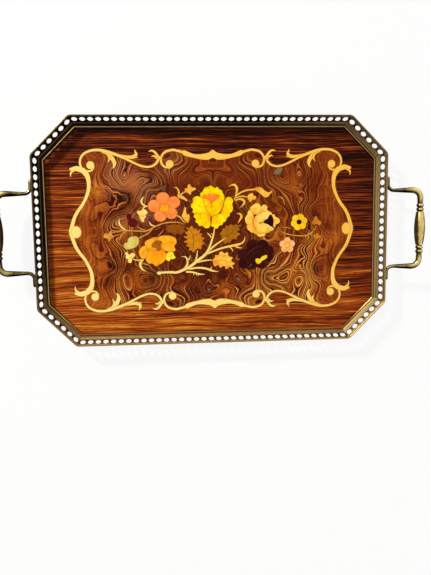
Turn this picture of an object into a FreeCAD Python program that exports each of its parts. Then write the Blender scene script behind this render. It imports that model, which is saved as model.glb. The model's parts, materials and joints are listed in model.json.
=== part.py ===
"""Octagonal marquetry serving tray with a pierced brass gallery and two cast handles.

The tray lies flat with +Z up and its origin in the middle of the underside.
X runs from handle to handle, and +Y points to the back edge.
All sizes are in millimetres, and each piece is written where it sits in the finished tray.
"""
import FreeCAD
import Part
import math
import os

from FreeCAD import Vector

# Board
BOARD_LENGTH = 384.0
BOARD_WIDTH = 239.0
CORNER_CUT = 37.0
BACK_THICKNESS = 0.8
CORE_THICKNESS = 6.4
TOP_THICKNESS = 0.8

# Marquetry: the pattern is drawn once for a field of the drawn size and stretched to its place
DRAWN_HALF_LENGTH = 166.0
DRAWN_HALF_WIDTH = 93.0
BORDER_AT_ENDS = 26.0
BORDER_AT_SIDES = 26.5
PATTERN_X = 0.7
PATTERN_Y = 0.9
SAW_TURN_DEGREES = 40.0
SMALLEST_PIECE = 1.5
DISC_SIDES = 9

# Gallery
SHEET = 0.9
SKIRT_LIFT = 0.4
BEND_LIFT = 0.3
FLARE_DEGREES = 35.0
FLARE_SLANT = 14.0
LIP_HEIGHT = 3.0
HOLE_DIAMETER = 6.5
HOLE_PITCH = 8.7
HOLE_SLANT = 10.0
HOLE_SIDES = 6
RIM_OVERHANG = 0.7
RIM_HEIGHT = 1.8
RIM_CHAMFER = 0.6
FOOT_BEAD_WIDTH = 2.9
FOOT_BEAD_HEIGHT = 1.4
FOOT_BEAD_CHAMFER = 0.7

# Handles
HANDLE_SPAN = 88.0
HANDLE_REACH = 36.0
HANDLE_RISE_DEGREES = 10.0
ARM_RADIUS_AT_FOOT = 2.1
ARM_RADIUS_AT_GRIP = 3.6
FOOT_BEND = 7.0
GRIP_BEND = 9.0
BEND_STEPS = 3
ROD_SIDES = 10
FOOT_LENGTH = 16.0
FOOT_HEIGHT = 2.8
FOOT_THICKNESS = 2.8
FOOT_POINT = 0.9
FOOT_TAPER = 3.5
FOOT_TIP_RADIUS = 1.2
RING_RADIUS = 4.4
RING_WIDTH = 4.0
RING_GAP = 0.8
RING_CHAMFER = 0.8
BARREL_LENGTH = 38.0
BARREL_RADIUS = 6.1
BARREL_END_RADIUS = 3.9
BARREL_STEPS = 4

# Rivets
RIVET_DIAMETER = 1.6
RIVET_HEAD_DIAMETER = 2.6
RIVET_HEAD_HEIGHT = 0.8
RIVET_SIDES = 6
RIVET_FROM_FOOT_END = 3.2

# Worked out from the sizes above
HALF_LENGTH = BOARD_LENGTH / 2
HALF_WIDTH = BOARD_WIDTH / 2
CORE_TOP = BACK_THICKNESS + CORE_THICKNESS
BOARD_TOP = CORE_TOP + TOP_THICKNESS
STRETCH_X = (HALF_LENGTH - BORDER_AT_ENDS) / DRAWN_HALF_LENGTH
STRETCH_Y = (HALF_WIDTH - BORDER_AT_SIDES) / DRAWN_HALF_WIDTH
FLARE = math.radians(FLARE_DEGREES)
FLARE_REACH = FLARE_SLANT * math.sin(FLARE)
BEND_Z = BOARD_TOP + BEND_LIFT
LIP_Z = BEND_Z + FLARE_SLANT * math.cos(FLARE)
LIP_TOP = LIP_Z + LIP_HEIGHT
LIP_FACE = FLARE_REACH + SHEET
UP = Vector(0, 0, 1)

SIDES = [
    "right",
    "corner_back_right",
    "back",
    "corner_back_left",
    "left",
    "corner_front_left",
    "front",
    "corner_front_right",
]
CORNERS = [
    Vector(HALF_LENGTH, CORNER_CUT - HALF_WIDTH, 0),
    Vector(HALF_LENGTH, HALF_WIDTH - CORNER_CUT, 0),
    Vector(HALF_LENGTH - CORNER_CUT, HALF_WIDTH, 0),
    Vector(CORNER_CUT - HALF_LENGTH, HALF_WIDTH, 0),
    Vector(-HALF_LENGTH, HALF_WIDTH - CORNER_CUT, 0),
    Vector(-HALF_LENGTH, CORNER_CUT - HALF_WIDTH, 0),
    Vector(CORNER_CUT - HALF_LENGTH, -HALF_WIDTH, 0),
    Vector(HALF_LENGTH - CORNER_CUT, -HALF_WIDTH, 0),
]

os.makedirs("parts", exist_ok=True)


def write(name, shapes):
    """Writes one node, which may hold several separate solids."""
    shapes = list(shapes)
    node = shapes[0] if len(shapes) == 1 else Part.makeCompound(shapes)
    node.exportStep("parts/" + name + ".step")


def polygon(points):
    """A flat face with the given corners."""
    return Part.Face(Part.makePolygon(points + points[:1]))


def closed_solid(faces):
    """The solid inside a closed set of faces."""
    solid = Part.Solid(Part.Shell(faces))
    if solid.Volume < 0:
        solid.reverse()
    return solid


# The octagon and the mouldings that run round it

def side_direction(side):
    return (CORNERS[(side + 1) % 8] - CORNERS[side]).normalize()


def side_normal(side):
    """The level direction that points out of the tray on one side."""
    return side_direction(side).cross(UP)


def corner_point(corner, reach, z):
    """The corner of an octagon that stands out from the board by reach, at height z."""
    before = side_normal((corner - 1) % 8)
    after = side_normal(corner % 8)
    mitre = (before + after) * (reach / (1 + before.dot(after)))
    return CORNERS[corner % 8] + mitre + Vector(0, 0, z)


def mitred_length(side, section):
    """One side of a moulding, with its ends cut on the mitres."""
    start = [corner_point(side, reach, z) for reach, z in section]
    end = [corner_point(side + 1, reach, z) for reach, z in section]
    faces = [polygon(start), polygon(end)]
    for a in range(len(section)):
        b = (a + 1) % len(section)
        faces.append(polygon([start[a], start[b], end[b], end[a]]))
    return closed_solid(faces)


def moulding(section):
    """A closed moulding round all eight sides."""
    faces = []
    for side in range(8):
        for a in range(len(section)):
            first = section[a]
            second = section[(a + 1) % len(section)]
            faces.append(polygon([
                corner_point(side, *first),
                corner_point(side, *second),
                corner_point(side + 1, *second),
                corner_point(side + 1, *first),
            ]))
    return closed_solid(faces)


def board_face(z):
    return polygon([corner + Vector(0, 0, z) for corner in CORNERS])


# Flat outlines of the marquetry, in the drawn size

def placed(x, y):
    """A drawn point in its place on the board, at the top of the core."""
    return Vector(PATTERN_X + x * STRETCH_X, PATTERN_Y + y * STRETCH_Y, CORE_TOP)


def facing_up(face):
    if face.normalAt(0, 0).z < 0:
        face.reverse()
    return face


def outline(points):
    """A flat outline, whichever way round its points run."""
    return facing_up(polygon([placed(x, y) for x, y in points]))


def oval(x, y, rx, ry, turn=0.0, sides=DISC_SIDES, notch=0.0):
    """An oval; notch draws in every other point, which makes the saw-toothed edge of a leaf."""
    points = []
    for k in range(sides):
        angle = 2 * math.pi * (k + 0.5) / sides
        size = 1 - notch * (k % 2)
        a = rx * size * math.cos(angle)
        b = ry * size * math.sin(angle)
        points.append((
            x + a * math.cos(turn) - b * math.sin(turn),
            y + a * math.sin(turn) + b * math.cos(turn),
        ))
    return outline(points)


def disc(x, y, radius):
    return oval(x, y, radius, radius)


def smooth(points, first=0, last=None):
    """Places and directions along a smooth curve, with more steps where it turns more."""
    curve = Part.BSplineCurve()
    curve.interpolate([Vector(*point) for point in points])
    marks = [curve.parameter(Vector(*point)) for point in points[first:last]]
    values = marks[:1]
    for low, high in zip(marks, marks[1:]):
        turn = curve.tangent(low)[0].getAngle(curve.tangent(high)[0])
        steps = max(1, math.ceil(turn / math.radians(SAW_TURN_DEGREES)))
        values += [low + (high - low) * (k + 1) / steps for k in range(steps)]
    return [(curve.value(value), curve.tangent(value)[0]) for value in values]


def stroke(points):
    """A smooth band through points of x, y and width."""
    left = []
    right = []
    for at, along in smooth(points):
        across = Vector(-along.y, along.x, 0).normalize() * (at.z / 2)
        left.append((at.x + across.x, at.y + across.y))
        right.append((at.x - across.x, at.y - across.y))
    return outline(left + right[::-1])


def smooth_edge(points, first=0, last=None):
    """Points along a smooth edge, or along part of a band's middle line."""
    return [(at.x, at.y) for at, along in smooth(points, first, last)]


def joined(faces):
    """One outline from several that overlap, added one after another."""
    whole = None
    for face in faces:
        parts = [face] if whole is None else whole.fuse(face).removeSplitter().Faces
        whole = facing_up(max(parts, key=lambda part: part.Area))
    return whole


def petals(lobes):
    """A flower outline from round petals of x, y and radius."""
    return joined(disc(*lobe) for lobe in lobes)


def ring_of_petals(count, x, y, reach, radius):
    """A daisy: a middle disc and equal petals round it."""
    lobes = [(x, y, reach)]
    for k in range(count):
        angle = 2 * math.pi * (k + 0.25) / count
        lobes.append((x + reach * math.cos(angle), y + reach * math.sin(angle), radius))
    return petals(lobes)


def mirrored(points, sign_x, sign_y):
    """Drawn points on the other side of the pattern's own centre lines."""
    return [(sign_x * point[0], sign_y * point[1], *point[2:]) for point in points]


# Scroll frame: one quarter is drawn, each band as x, y and width

BRACKET = [
    (164.0, 0, 4.4), (158.2, 18, 3.6), (146.6, 36, 3.2), (141.5, 53, 4.0),
    (145.5, 67.3, 6.0), (154, 71.4, 5.8), (162.3, 70.6, 2.4),
]
BRACKET_HOOK = [(157, 69.5, 2.6), (160.8, 67, 2.0), (161.3, 62.3, 0.6)]
BRACKET_KNOB = (157.5, 0, 5.6, 7.0)
BRACKET_VOLUTE = [(147, 69.3, 2.4), (138.5, 69, 1.8), (134.9, 73.5, 2.0)]
BRACKET_DISC = (139, 75.2, 4.6)
CORNER = [
    (149.6, 71.5, 2.4), (150.6, 79, 2.4), (147.5, 86.5, 2.6), (131, 91.4, 2.9), (110, 86.6, 3.3),
    (87, 76.4, 2.3), (74, 73.2, 2.3), (65, 78.8, 2.6), (62.8, 83.3, 3.2), (68, 90.4, 2.8),
    (73.3, 90.2, 0.7),
]
CORNER_OUTER_LEAF = [
    (112, 87.2, 2.4), (101, 84.6, 2.7), (92, 83.8, 3.8), (87.4, 86.8, 3.0), (88.6, 92.2, 0.6),
]
CORNER_OUTER_FLICK = [(93, 83.4, 2.6), (85.4, 83.6, 0.6)]
CORNER_INNER_LEAF = [
    (125, 90.6, 2.8), (117, 86, 3.6), (113.2, 80.5, 4.2), (112.4, 75, 2.6), (114.6, 71.4, 0.6),
]
CORNER_INNER_FLICK = [(118, 86.4, 2.6), (117.6, 82, 2.2), (119.4, 78, 0.6)]
KNOT_DISC = (61, 82.8, 2.4)
KNOT_FLICK = [(64.4, 83.6, 2.2), (67.2, 85.2, 1.8), (70.3, 84.4, 0.6)]
CORNER_BANDS = [
    CORNER, CORNER_OUTER_LEAF, CORNER_OUTER_FLICK, CORNER_INNER_LEAF, CORNER_INNER_FLICK, KNOT_FLICK,
]
CREST_UPPER = [(0, 91.8), (4.5, 89), (10, 87.6), (20, 87), (36, 90.6)]
CREST_LOWER = [(36, 88), (20, 82.2), (10, 80.4), (4, 80.8), (0, 82.5)]
CREST_VOLUTE = [
    (34, 88.6, 2.7), (47, 91.6, 2.6), (57.5, 86.5, 2.4), (57.6, 74.8, 2.2), (49, 71.5, 2.2),
]
CREST_DISC = (49.4, 76, 4.6)
FIELD_CREST = [(59.2, 82.5), (57.5, 86.5), (53.5, 89.8), (47, 91.6), (34, 88.6), (18, 84.5), (0, 87)]


BRACKET_WHOLE = mirrored(BRACKET[:0:-1], 1, -1) + BRACKET


def bracket(sign_x):
    """The bracket at one end, with a hook and a volute at each of its tips."""
    bands = [stroke(mirrored(BRACKET_WHOLE, sign_x, 1)), oval(sign_x * BRACKET_KNOB[0], *BRACKET_KNOB[1:])]
    for sign_y in (1, -1):
        bands += [stroke(mirrored(band, sign_x, sign_y)) for band in (BRACKET_HOOK, BRACKET_VOLUTE)]
        bands += [disc(*lobe) for lobe in mirrored([BRACKET_DISC], sign_x, sign_y)]
    return joined(bands)


def corner(sign_x, sign_y):
    """The long scroll and its leaves in one corner."""
    bands = [stroke(mirrored(band, sign_x, sign_y)) for band in CORNER_BANDS]
    return joined(bands + [disc(*lobe) for lobe in mirrored([KNOT_DISC], sign_x, sign_y)])


def crest(sign_y):
    """The peaked middle of one long side, with a volute at each end."""
    upper = smooth_edge(CREST_UPPER)
    lower = smooth_edge(CREST_LOWER)
    edge = mirrored(upper[::-1], -1, 1) + upper[1:] + lower + mirrored(lower[-2::-1], -1, 1)
    bands = [outline(mirrored(edge, 1, sign_y))]
    for sign_x in (1, -1):
        bands.append(stroke(mirrored(CREST_VOLUTE, sign_x, sign_y)))
        bands += [disc(*lobe) for lobe in mirrored([CREST_DISC], sign_x, sign_y)]
    return joined(bands)


middle = len(BRACKET) - 1
scroll_end = len(CORNER) - 2
quarter = smooth_edge(BRACKET_WHOLE, middle, middle + 5) + smooth_edge(CORNER, 0, scroll_end) + FIELD_CREST
field = outline(
    quarter
    + mirrored(quarter[-2::-1], -1, 1)
    + mirrored(quarter[1:], -1, -1)
    + mirrored(quarter[-2:0:-1], 1, -1)
)

# Spray of flowers: petals as x, y and radius, stems as x, y and width

ROSE = [
    (-1, 27, 16), (-1, 41.5, 10), (-9.5, 40, 7.5), (7, 39.5, 7), (-18, 31.5, 8), (-18.8, 25, 7.4),
    (12.5, 15, 8.5), (18, 24, 6.2), (18, 33, 5.8), (-14, 14, 10), (4, 11.5, 9.5),
]
ROSE_HEART = [
    (-12.5, 38), (-8, 41.2), (-3.5, 42.5), (0, 40.2), (3.5, 41.2), (6.5, 39.8), (0.8, 34), (-1.8, 29.5),
    (-4.5, 33.5), (-8.5, 35.4),
]
BLOSSOM = [
    (-56.5, 26.5, 8), (-58.5, 36, 6.8), (-46.5, 32.3, 7), (-49.5, 20.3, 7), (-61, 18, 7), (-67.5, 28.5, 7),
]
BLOSSOM_EYE = (-56, 26, 5)
CREAM_ROSE = [
    (56, 12, 11), (51, 23.2, 8.2), (60, 22, 6.2), (46, 13, 8.8), (47.2, 4, 8), (56.5, 1, 9.2), (65, 3.5, 6),
    (72, 4.5, 4), (74, 9.5, 5.6), (71.5, 15.2, 4.2),
]
CREAM_ROSE_FOLD = [(59, 8.5), (68.5, 18), (71, 11.5), (70.8, 0.6)]
PEONY = [
    (51, -30, 14), (47, -20, 9), (57.5, -19.5, 7.5), (63.5, -28, 8), (62.5, -34.5, 5.5), (38, -30.5, 9.5),
    (36, -39, 7.2), (45, -40, 7.2), (57, -39, 7.8),
]
PEONY_STAMENS = (56, -35.2, 7.6, 3.4, math.radians(25))
DOG_ROSE = [
    (-67, -21, 10), (-59, -12, 6.8), (-51, -13.2, 8.4), (-49.5, -19.5, 6), (-73.5, -14.5, 6.6),
    (-79.5, -24.5, 8), (-74.5, -31, 8), (-67, -32.5, 8), (-62, -29, 8),
]
DOG_ROSE_EYE = [(-67.8, -14.5, 4.4), (-64, -19.3, 3.6), (-63.2, -13.2, 3.2)]
YELLOW_DAISY_PETALS = 6
YELLOW_DAISY = (102, 7.8, 5.8, 4.6)
YELLOW_DAISY_EYE = (102, 7.8, 3.0)
PINK_DAISY_PETALS = 5
PINK_DAISY = (88, -19.4, 5.4, 4.4)
LEAF_LEFT = (-24, -10.5, 10.5, 15.5, math.radians(14))
LEAF_RIGHT = (20.5, -4.5, 13.5, 10.0, math.radians(38))
LEAF_LOW = (12, -35, 13.5, 8.0, math.radians(-28))
LEAF_TEETH = 18
LEAF_NOTCH = 0.1
STEM = [
    [
        (-67, -47.5, 3.6), (-45, -48.4, 3.0), (-29, -42.5, 3.4), (-9.5, -28.5, 3.6), (-2.5, -12, 2.0),
        (1, 3, 1.4),
    ],
    [(-26, -40.5, 2.0), (-21.5, -33, 1.8), (-19.2, -23, 1.4)],
    [(-9.5, -28, 2.0), (9, -13.3, 1.2)],
    [(-13, -31, 2.2), (1, -23.5, 2.0), (25, -18.6, 2.2), (34, -14.5, 1.6), (38, -7.5, 0.8)],
    [(-20, -37, 2.0), (-1.5, -34.6, 1.4)],
    [(-36, -45.5, 2.4), (-20, -43.8, 1.8), (-8, -45.5, 2.0), (5, -48.6, 1.0)],
    [(-38, -46.5, 2.4), (-31.5, -39, 2.2), (-26, -29.2, 0.8)],
]


def leaf(shape):
    return oval(*shape, sides=LEAF_TEETH, notch=LEAF_NOTCH)


# Each outline is sawn out of all the outlines after it, so the pieces fit with no overlap
inlay = [
    ("rose_heart", outline(ROSE_HEART)),
    ("blossom_eye", disc(*BLOSSOM_EYE)),
    ("cream_rose_fold", outline(CREAM_ROSE_FOLD)),
    ("peony_stamens", oval(*PEONY_STAMENS)),
    ("dog_rose_eye", petals(DOG_ROSE_EYE)),
    ("yellow_daisy_eye", disc(*YELLOW_DAISY_EYE)),
    ("yellow_rose", petals(ROSE)),
    ("orange_blossom", petals(BLOSSOM)),
    ("cream_rose", petals(CREAM_ROSE)),
    ("dark_peony", petals(PEONY)),
    ("amber_dog_rose", petals(DOG_ROSE)),
    ("yellow_daisy", ring_of_petals(YELLOW_DAISY_PETALS, *YELLOW_DAISY)),
    ("pink_daisy", ring_of_petals(PINK_DAISY_PETALS, *PINK_DAISY)),
    ("leaf_left", leaf(LEAF_LEFT)),
    ("leaf_right", leaf(LEAF_RIGHT)),
    ("leaf_low", leaf(LEAF_LOW)),
    ("stem", joined(stroke(band) for band in STEM)),
    ("scroll_bracket_right", bracket(1)),
    ("scroll_bracket_left", bracket(-1)),
    ("scroll_crest_back", crest(1)),
    ("scroll_crest_front", crest(-1)),
    ("scroll_corner_back_right", corner(1, 1)),
    ("scroll_corner_back_left", corner(-1, 1)),
    ("scroll_corner_front_right", corner(1, -1)),
    ("scroll_corner_front_left", corner(-1, -1)),
]


def quarter_field(sign_x, sign_y):
    """The part of the burl field in one quarter of the pattern."""
    far_x = sign_x * DRAWN_HALF_LENGTH
    far_y = sign_y * DRAWN_HALF_WIDTH
    return field.common(outline([(0, 0), (far_x, 0), (far_x, far_y), (0, far_y)]))


sheets = [
    ("burl_back_right", quarter_field(1, 1)),
    ("burl_back_left", quarter_field(-1, 1)),
    ("burl_front_right", quarter_field(1, -1)),
    ("burl_front_left", quarter_field(-1, -1)),
    ("border_veneer", board_face(CORE_TOP).cut(field)),
]
sawn = []
for name, face in inlay:
    near = [other for other in sawn if other.BoundBox.intersect(face.BoundBox)]
    piece = face.cut(near) if near else face
    write(name, [part.extrude(UP * TOP_THICKNESS) for part in piece.Faces if part.Area > SMALLEST_PIECE])
    sawn.append(face)
for name, face in sheets:
    piece = face.cut(sawn)
    write(name, [part.extrude(UP * TOP_THICKNESS) for part in piece.Faces if part.Area > SMALLEST_PIECE])

write("back_veneer", [board_face(0).extrude(UP * BACK_THICKNESS)])
write("core_board", [board_face(BACK_THICKNESS).extrude(UP * CORE_THICKNESS)])

# Gallery: a skirt round the board, a flared band with one row of holes, and an upright lip
bend_drop = SHEET * math.tan(FLARE / 2)
gallery_section = [
    (0, SKIRT_LIFT),
    (SHEET, SKIRT_LIFT),
    (SHEET, BEND_Z - bend_drop),
    (LIP_FACE, LIP_Z - bend_drop),
    (LIP_FACE, LIP_TOP),
    (FLARE_REACH, LIP_TOP),
    (FLARE_REACH, LIP_Z),
    (0, BEND_Z),
]
rim_section = [
    (FLARE_REACH - RIM_OVERHANG, LIP_TOP),
    (LIP_FACE + RIM_OVERHANG, LIP_TOP),
    (LIP_FACE + RIM_OVERHANG, LIP_TOP + RIM_HEIGHT - RIM_CHAMFER),
    (LIP_FACE + RIM_OVERHANG - RIM_CHAMFER, LIP_TOP + RIM_HEIGHT),
    (FLARE_REACH - RIM_OVERHANG + RIM_CHAMFER, LIP_TOP + RIM_HEIGHT),
    (FLARE_REACH - RIM_OVERHANG, LIP_TOP + RIM_HEIGHT - RIM_CHAMFER),
]
foot_bead_section = [
    (-FOOT_BEAD_WIDTH, BOARD_TOP),
    (0, BOARD_TOP),
    (0, BOARD_TOP + FOOT_BEAD_HEIGHT),
    (FOOT_BEAD_CHAMFER - FOOT_BEAD_WIDTH, BOARD_TOP + FOOT_BEAD_HEIGHT),
    (-FOOT_BEAD_WIDTH, BOARD_TOP + FOOT_BEAD_HEIGHT - FOOT_BEAD_CHAMFER),
]


def regular_prism(centre, axis, across, radius, length, sides):
    """A prism of equal sides that starts at centre and runs along axis."""
    other = axis.cross(across)
    points = []
    for k in range(sides):
        angle = 2 * math.pi * (k + 0.5) / sides
        points.append(centre + across * (radius * math.cos(angle)) + other * (radius * math.sin(angle)))
    return polygon(points).extrude(axis * length)


def hole_row(side):
    """Cutters for the row of holes on one side, as many as the pitch gives room for."""
    reach = HOLE_SLANT * math.sin(FLARE)
    height = BEND_Z + HOLE_SLANT * math.cos(FLARE)
    start = corner_point(side, reach, height)
    end = corner_point(side + 1, reach, height)
    along = side_direction(side)
    outward = side_normal(side) * math.cos(FLARE) - UP * math.sin(FLARE)
    run = (end - start).Length
    count = int(run / HOLE_PITCH)
    step = run / count
    first = start + along * (step / 2) - outward * SHEET
    return [
        regular_prism(first + along * (k * step), outward, along, HOLE_DIAMETER / 2, 3 * SHEET, HOLE_SIDES)
        for k in range(count)
    ]


# Handles: one bent and turned rod between two flat feet, drawn for the right end
foot_z = LIP_Z + LIP_HEIGHT / 2
half_span = HANDLE_SPAN / 2
foot_end = half_span + FOOT_LENGTH
foot_face = HALF_LENGTH + LIP_FACE + FOOT_THICKNESS
ALONG = Vector(0, 1, 0)
OUT = Vector(1, 0, 0)


def arc_stations(centre, radius, start, end, rod_radius):
    """Stations round a bend: place along the end, place outward, direction and rod radius."""
    stations = []
    for k in range(BEND_STEPS + 1):
        angle = math.radians(start + (end - start) * k / BEND_STEPS)
        turn = math.copysign(1, end - start)
        place = centre + Vector(math.sin(angle), math.cos(angle), 0) * radius
        direction = Vector(math.cos(angle), -math.sin(angle), 0) * turn
        stations.append((place, direction, rod_radius))
    return stations


def half_rod():
    """Stations from the foot at the back, round both bends, to the middle of the grip."""
    foot_centre = Vector(FOOT_BEND, half_span + FOOT_BEND, 0)
    grip_centre = Vector(HANDLE_REACH - GRIP_BEND, half_span - GRIP_BEND, 0)
    stations = [(Vector(0, half_span + FOOT_BEND + FOOT_TAPER, 0), -ALONG, FOOT_TIP_RADIUS)]
    stations += arc_stations(foot_centre, FOOT_BEND, 270, 180, ARM_RADIUS_AT_FOOT)
    stations += arc_stations(grip_centre, GRIP_BEND, 0, 90, ARM_RADIUS_AT_GRIP)
    half_barrel = BARREL_LENGTH / 2
    profile = []
    for k in (1, 0):
        low = half_barrel + RING_GAP + k * (RING_WIDTH + RING_GAP)
        high = low + RING_WIDTH
        profile += [
            (high, ARM_RADIUS_AT_GRIP),
            (high - RING_CHAMFER, RING_RADIUS),
            (low + RING_CHAMFER, RING_RADIUS),
            (low, ARM_RADIUS_AT_GRIP),
        ]
    for k in range(BARREL_STEPS + 1):
        share = 1 - k / BARREL_STEPS
        swell = (BARREL_RADIUS - BARREL_END_RADIUS) * (1 - share ** 2)
        profile.append((half_barrel * share, BARREL_END_RADIUS + swell))
    return stations + [(Vector(HANDLE_REACH, y, 0), -ALONG, radius) for y, radius in profile]


def rod(stations):
    """A solid through round sections, each drawn with the same number of sides."""
    rings = []
    for place, direction, radius in stations:
        across = direction.cross(UP)
        ring = []
        for k in range(ROD_SIDES):
            angle = 2 * math.pi * (k + 0.5) / ROD_SIDES
            ring.append(place + (across * math.cos(angle) + UP * math.sin(angle)) * radius)
        rings.append(ring)
    faces = [polygon(rings[0]), polygon(rings[-1])]
    for first, second in zip(rings, rings[1:]):
        for a in range(ROD_SIDES):
            b = (a + 1) % ROD_SIDES
            faces.append(polygon([first[a], first[b], second[b], second[a]]))
    return closed_solid(faces)


def foot(sign):
    """A flat foot against the lip, with its end cut to a blunt point."""
    low = foot_z - FOOT_HEIGHT / 2
    high = foot_z + FOOT_HEIGHT / 2
    corners = [
        (half_span, low),
        (foot_end - FOOT_POINT, low),
        (foot_end, low + FOOT_POINT),
        (foot_end, high - FOOT_POINT),
        (foot_end - FOOT_POINT, high),
        (half_span, high),
    ]
    x = HALF_LENGTH + LIP_FACE
    return polygon([Vector(x, sign * y, z) for y, z in corners]).extrude(OUT * FOOT_THICKNESS)


def right_handle():
    half = half_rod()
    other = [(Vector(p.x, -p.y, 0), Vector(-d.x, d.y, 0), r) for p, d, r in half[-2::-1]]
    casting = rod(half + other)
    casting.rotate(Vector(0, 0, 0), ALONG, -HANDLE_RISE_DEGREES)
    casting.translate(Vector(foot_face, 0, foot_z))
    return casting.multiFuse([foot(1), foot(-1)]).removeSplitter()


def rivet_places():
    """The axis point of each rivet on the right end, at the outer face of the foot."""
    y = foot_end - RIVET_FROM_FOOT_END
    return [Vector(foot_face, sign * y, foot_z) for sign in (1, -1)]


def rivet(place):
    """A rivet through foot and lip, with a round head outside and inside."""
    shank_length = FOOT_THICKNESS + SHEET
    head_radius = RIVET_HEAD_DIAMETER / 2
    shank = regular_prism(place, -OUT, ALONG, RIVET_DIAMETER / 2, shank_length, RIVET_SIDES)
    outer = regular_prism(place, OUT, ALONG, head_radius, RIVET_HEAD_HEIGHT, RIVET_SIDES)
    inner_start = place - OUT * shank_length
    inner = regular_prism(inner_start, -OUT, ALONG, head_radius, RIVET_HEAD_HEIGHT, RIVET_SIDES)
    return shank, outer, inner


def end_for_end(shape):
    """The same piece at the left end."""
    return shape.mirror(Vector(0, 0, 0), OUT)


shanks = [rivet(place)[0] for place in rivet_places()]
rivets = []
for place in rivet_places():
    shank, outer, inner = rivet(place)
    whole = shank.multiFuse([outer, inner]).removeSplitter()
    rivets += [whole, end_for_end(whole)]
write("handle_rivets", rivets)

handle = right_handle().cut(shanks)
write("handle_right", [handle])
write("handle_left", [end_for_end(handle)])

for side, name in enumerate(SIDES):
    cutters = hole_row(side)
    if name == "right":
        cutters += shanks
    if name == "left":
        cutters += [end_for_end(shank) for shank in shanks]
    write("gallery_" + name, [mitred_length(side, gallery_section).cut(cutters)])
write("gallery_rim", [moulding(rim_section)])
write("gallery_foot_bead", [moulding(foot_bead_section)])
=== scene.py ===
# %% [markdown]
# A marquetry serving tray, dressed over its CAD model.
# The board is an octagon covered with rosewood, with a burl field inside a scrolled boxwood frame
# and a bouquet of dyed veneers in the middle.
# Round it runs a gallery of pressed brass, pierced with one row of round holes, and each end has a
# cast brass handle. All lengths below are written in millimetres and turned into metres once.

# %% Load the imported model
import json
import math

import bmesh
import bpy
from mathutils import Matrix, Vector

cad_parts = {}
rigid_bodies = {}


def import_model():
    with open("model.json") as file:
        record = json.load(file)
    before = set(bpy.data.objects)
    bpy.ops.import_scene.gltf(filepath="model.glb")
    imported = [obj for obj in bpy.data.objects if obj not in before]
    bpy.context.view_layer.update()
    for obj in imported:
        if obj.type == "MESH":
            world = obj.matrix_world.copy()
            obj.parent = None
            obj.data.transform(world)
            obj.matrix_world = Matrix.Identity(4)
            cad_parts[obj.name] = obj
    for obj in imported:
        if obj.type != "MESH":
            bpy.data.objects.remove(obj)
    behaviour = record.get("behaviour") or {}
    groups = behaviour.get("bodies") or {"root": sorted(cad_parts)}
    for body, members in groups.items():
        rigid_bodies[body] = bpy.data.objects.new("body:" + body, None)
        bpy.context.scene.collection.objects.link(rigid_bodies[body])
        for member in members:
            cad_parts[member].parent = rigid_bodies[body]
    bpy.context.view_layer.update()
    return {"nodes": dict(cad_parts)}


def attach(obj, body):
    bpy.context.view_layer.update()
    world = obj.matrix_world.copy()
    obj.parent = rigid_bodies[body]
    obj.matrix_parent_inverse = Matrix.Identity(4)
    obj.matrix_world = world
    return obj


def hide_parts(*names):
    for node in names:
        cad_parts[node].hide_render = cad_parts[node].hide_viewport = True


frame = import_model()
MM = 0.001
UP = Vector((0, 0, 1))
scene = bpy.context.scene
scene.view_settings.view_transform = "Standard"
print("nodes loaded:", len(frame["nodes"]))

# %% [markdown]
# The camera stands nearly over the tray, a little to the left of the middle, and leans forward.
# A camera can be aimed with a constraint or by its own axes. Its axes are written here, because
# they fix the roll of the picture as well as the aim.

# %% Camera
CAMERA_PLACE = Vector((-0.05116, 0.01253, 0.68449))
CAMERA_LOOK = Vector((0.07764, -0.11542, -0.99028))
CAMERA_TOP = Vector((0.02224, 0.99323, -0.11402))
FOCAL_IN_PIXELS = 580
PICTURE_HEIGHT = 575
SENSOR = 36

camera_data = bpy.data.cameras.new("camera")
camera_data.sensor_width = SENSOR
camera_data.lens = FOCAL_IN_PIXELS * SENSOR / PICTURE_HEIGHT
camera = bpy.data.objects.new("camera", camera_data)
camera_axes = Matrix((CAMERA_LOOK.cross(CAMERA_TOP), CAMERA_TOP, -CAMERA_LOOK)).transposed()
camera.matrix_world = Matrix.Translation(CAMERA_PLACE) @ camera_axes.to_4x4()
scene.collection.objects.link(camera)
scene.camera = camera
print("lens:", round(camera_data.lens, 1), "mm")

# %% [markdown]
# Light: a small square lamp far behind the back left corner gives crisp shadows along the gallery.
# A wide weak lamp at the front right and an even grey room fill them. A sun lamp would do for the
# first, but a lamp that stands somewhere is a little weaker at the far side of the tray, as light
# from a window is. A polished tray shows whatever is straight above it, so no lamp hangs there.

# %% Lamps and room
ROOM_GREY = 0.24
TRAY_MIDDLE = Vector((0, 0, 0.01))
KEY_PLACE = (-1.6, 1.6, 1.45)
KEY_POWER = 92
KEY_SIZE = 0.2
FILL_PLACE = (1.1, -0.9, 1.0)
FILL_POWER = 5
FILL_SIZE = 0.8


def lamp(name, place, power, size):
    """A square soft lamp that faces the tray."""
    data = bpy.data.lights.new(name, "AREA")
    data.energy = power
    data.size = size
    holder = bpy.data.objects.new(name, data)
    holder.location = place
    holder.rotation_mode = "QUATERNION"
    holder.rotation_quaternion = (TRAY_MIDDLE - Vector(place)).to_track_quat("-Z", "Y")
    scene.collection.objects.link(holder)


lamp("key_lamp", KEY_PLACE, KEY_POWER, KEY_SIZE)
lamp("fill_lamp", FILL_PLACE, FILL_POWER, FILL_SIZE)
room = bpy.data.worlds.new("room")
room.use_nodes = True
room.node_tree.nodes["Background"].inputs["Color"].default_value = (ROOM_GREY, ROOM_GREY, ROOM_GREY, 1)
scene.world = room

# %% [markdown]
# Shader maths reads best as arithmetic. Wire wraps one output socket, so that 1 - mask adds a Math
# node by itself. Finish is one material: its node method makes any other node from its type, its
# settings and its sockets, and the few methods under it are short names for nodes used all over.

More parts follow.
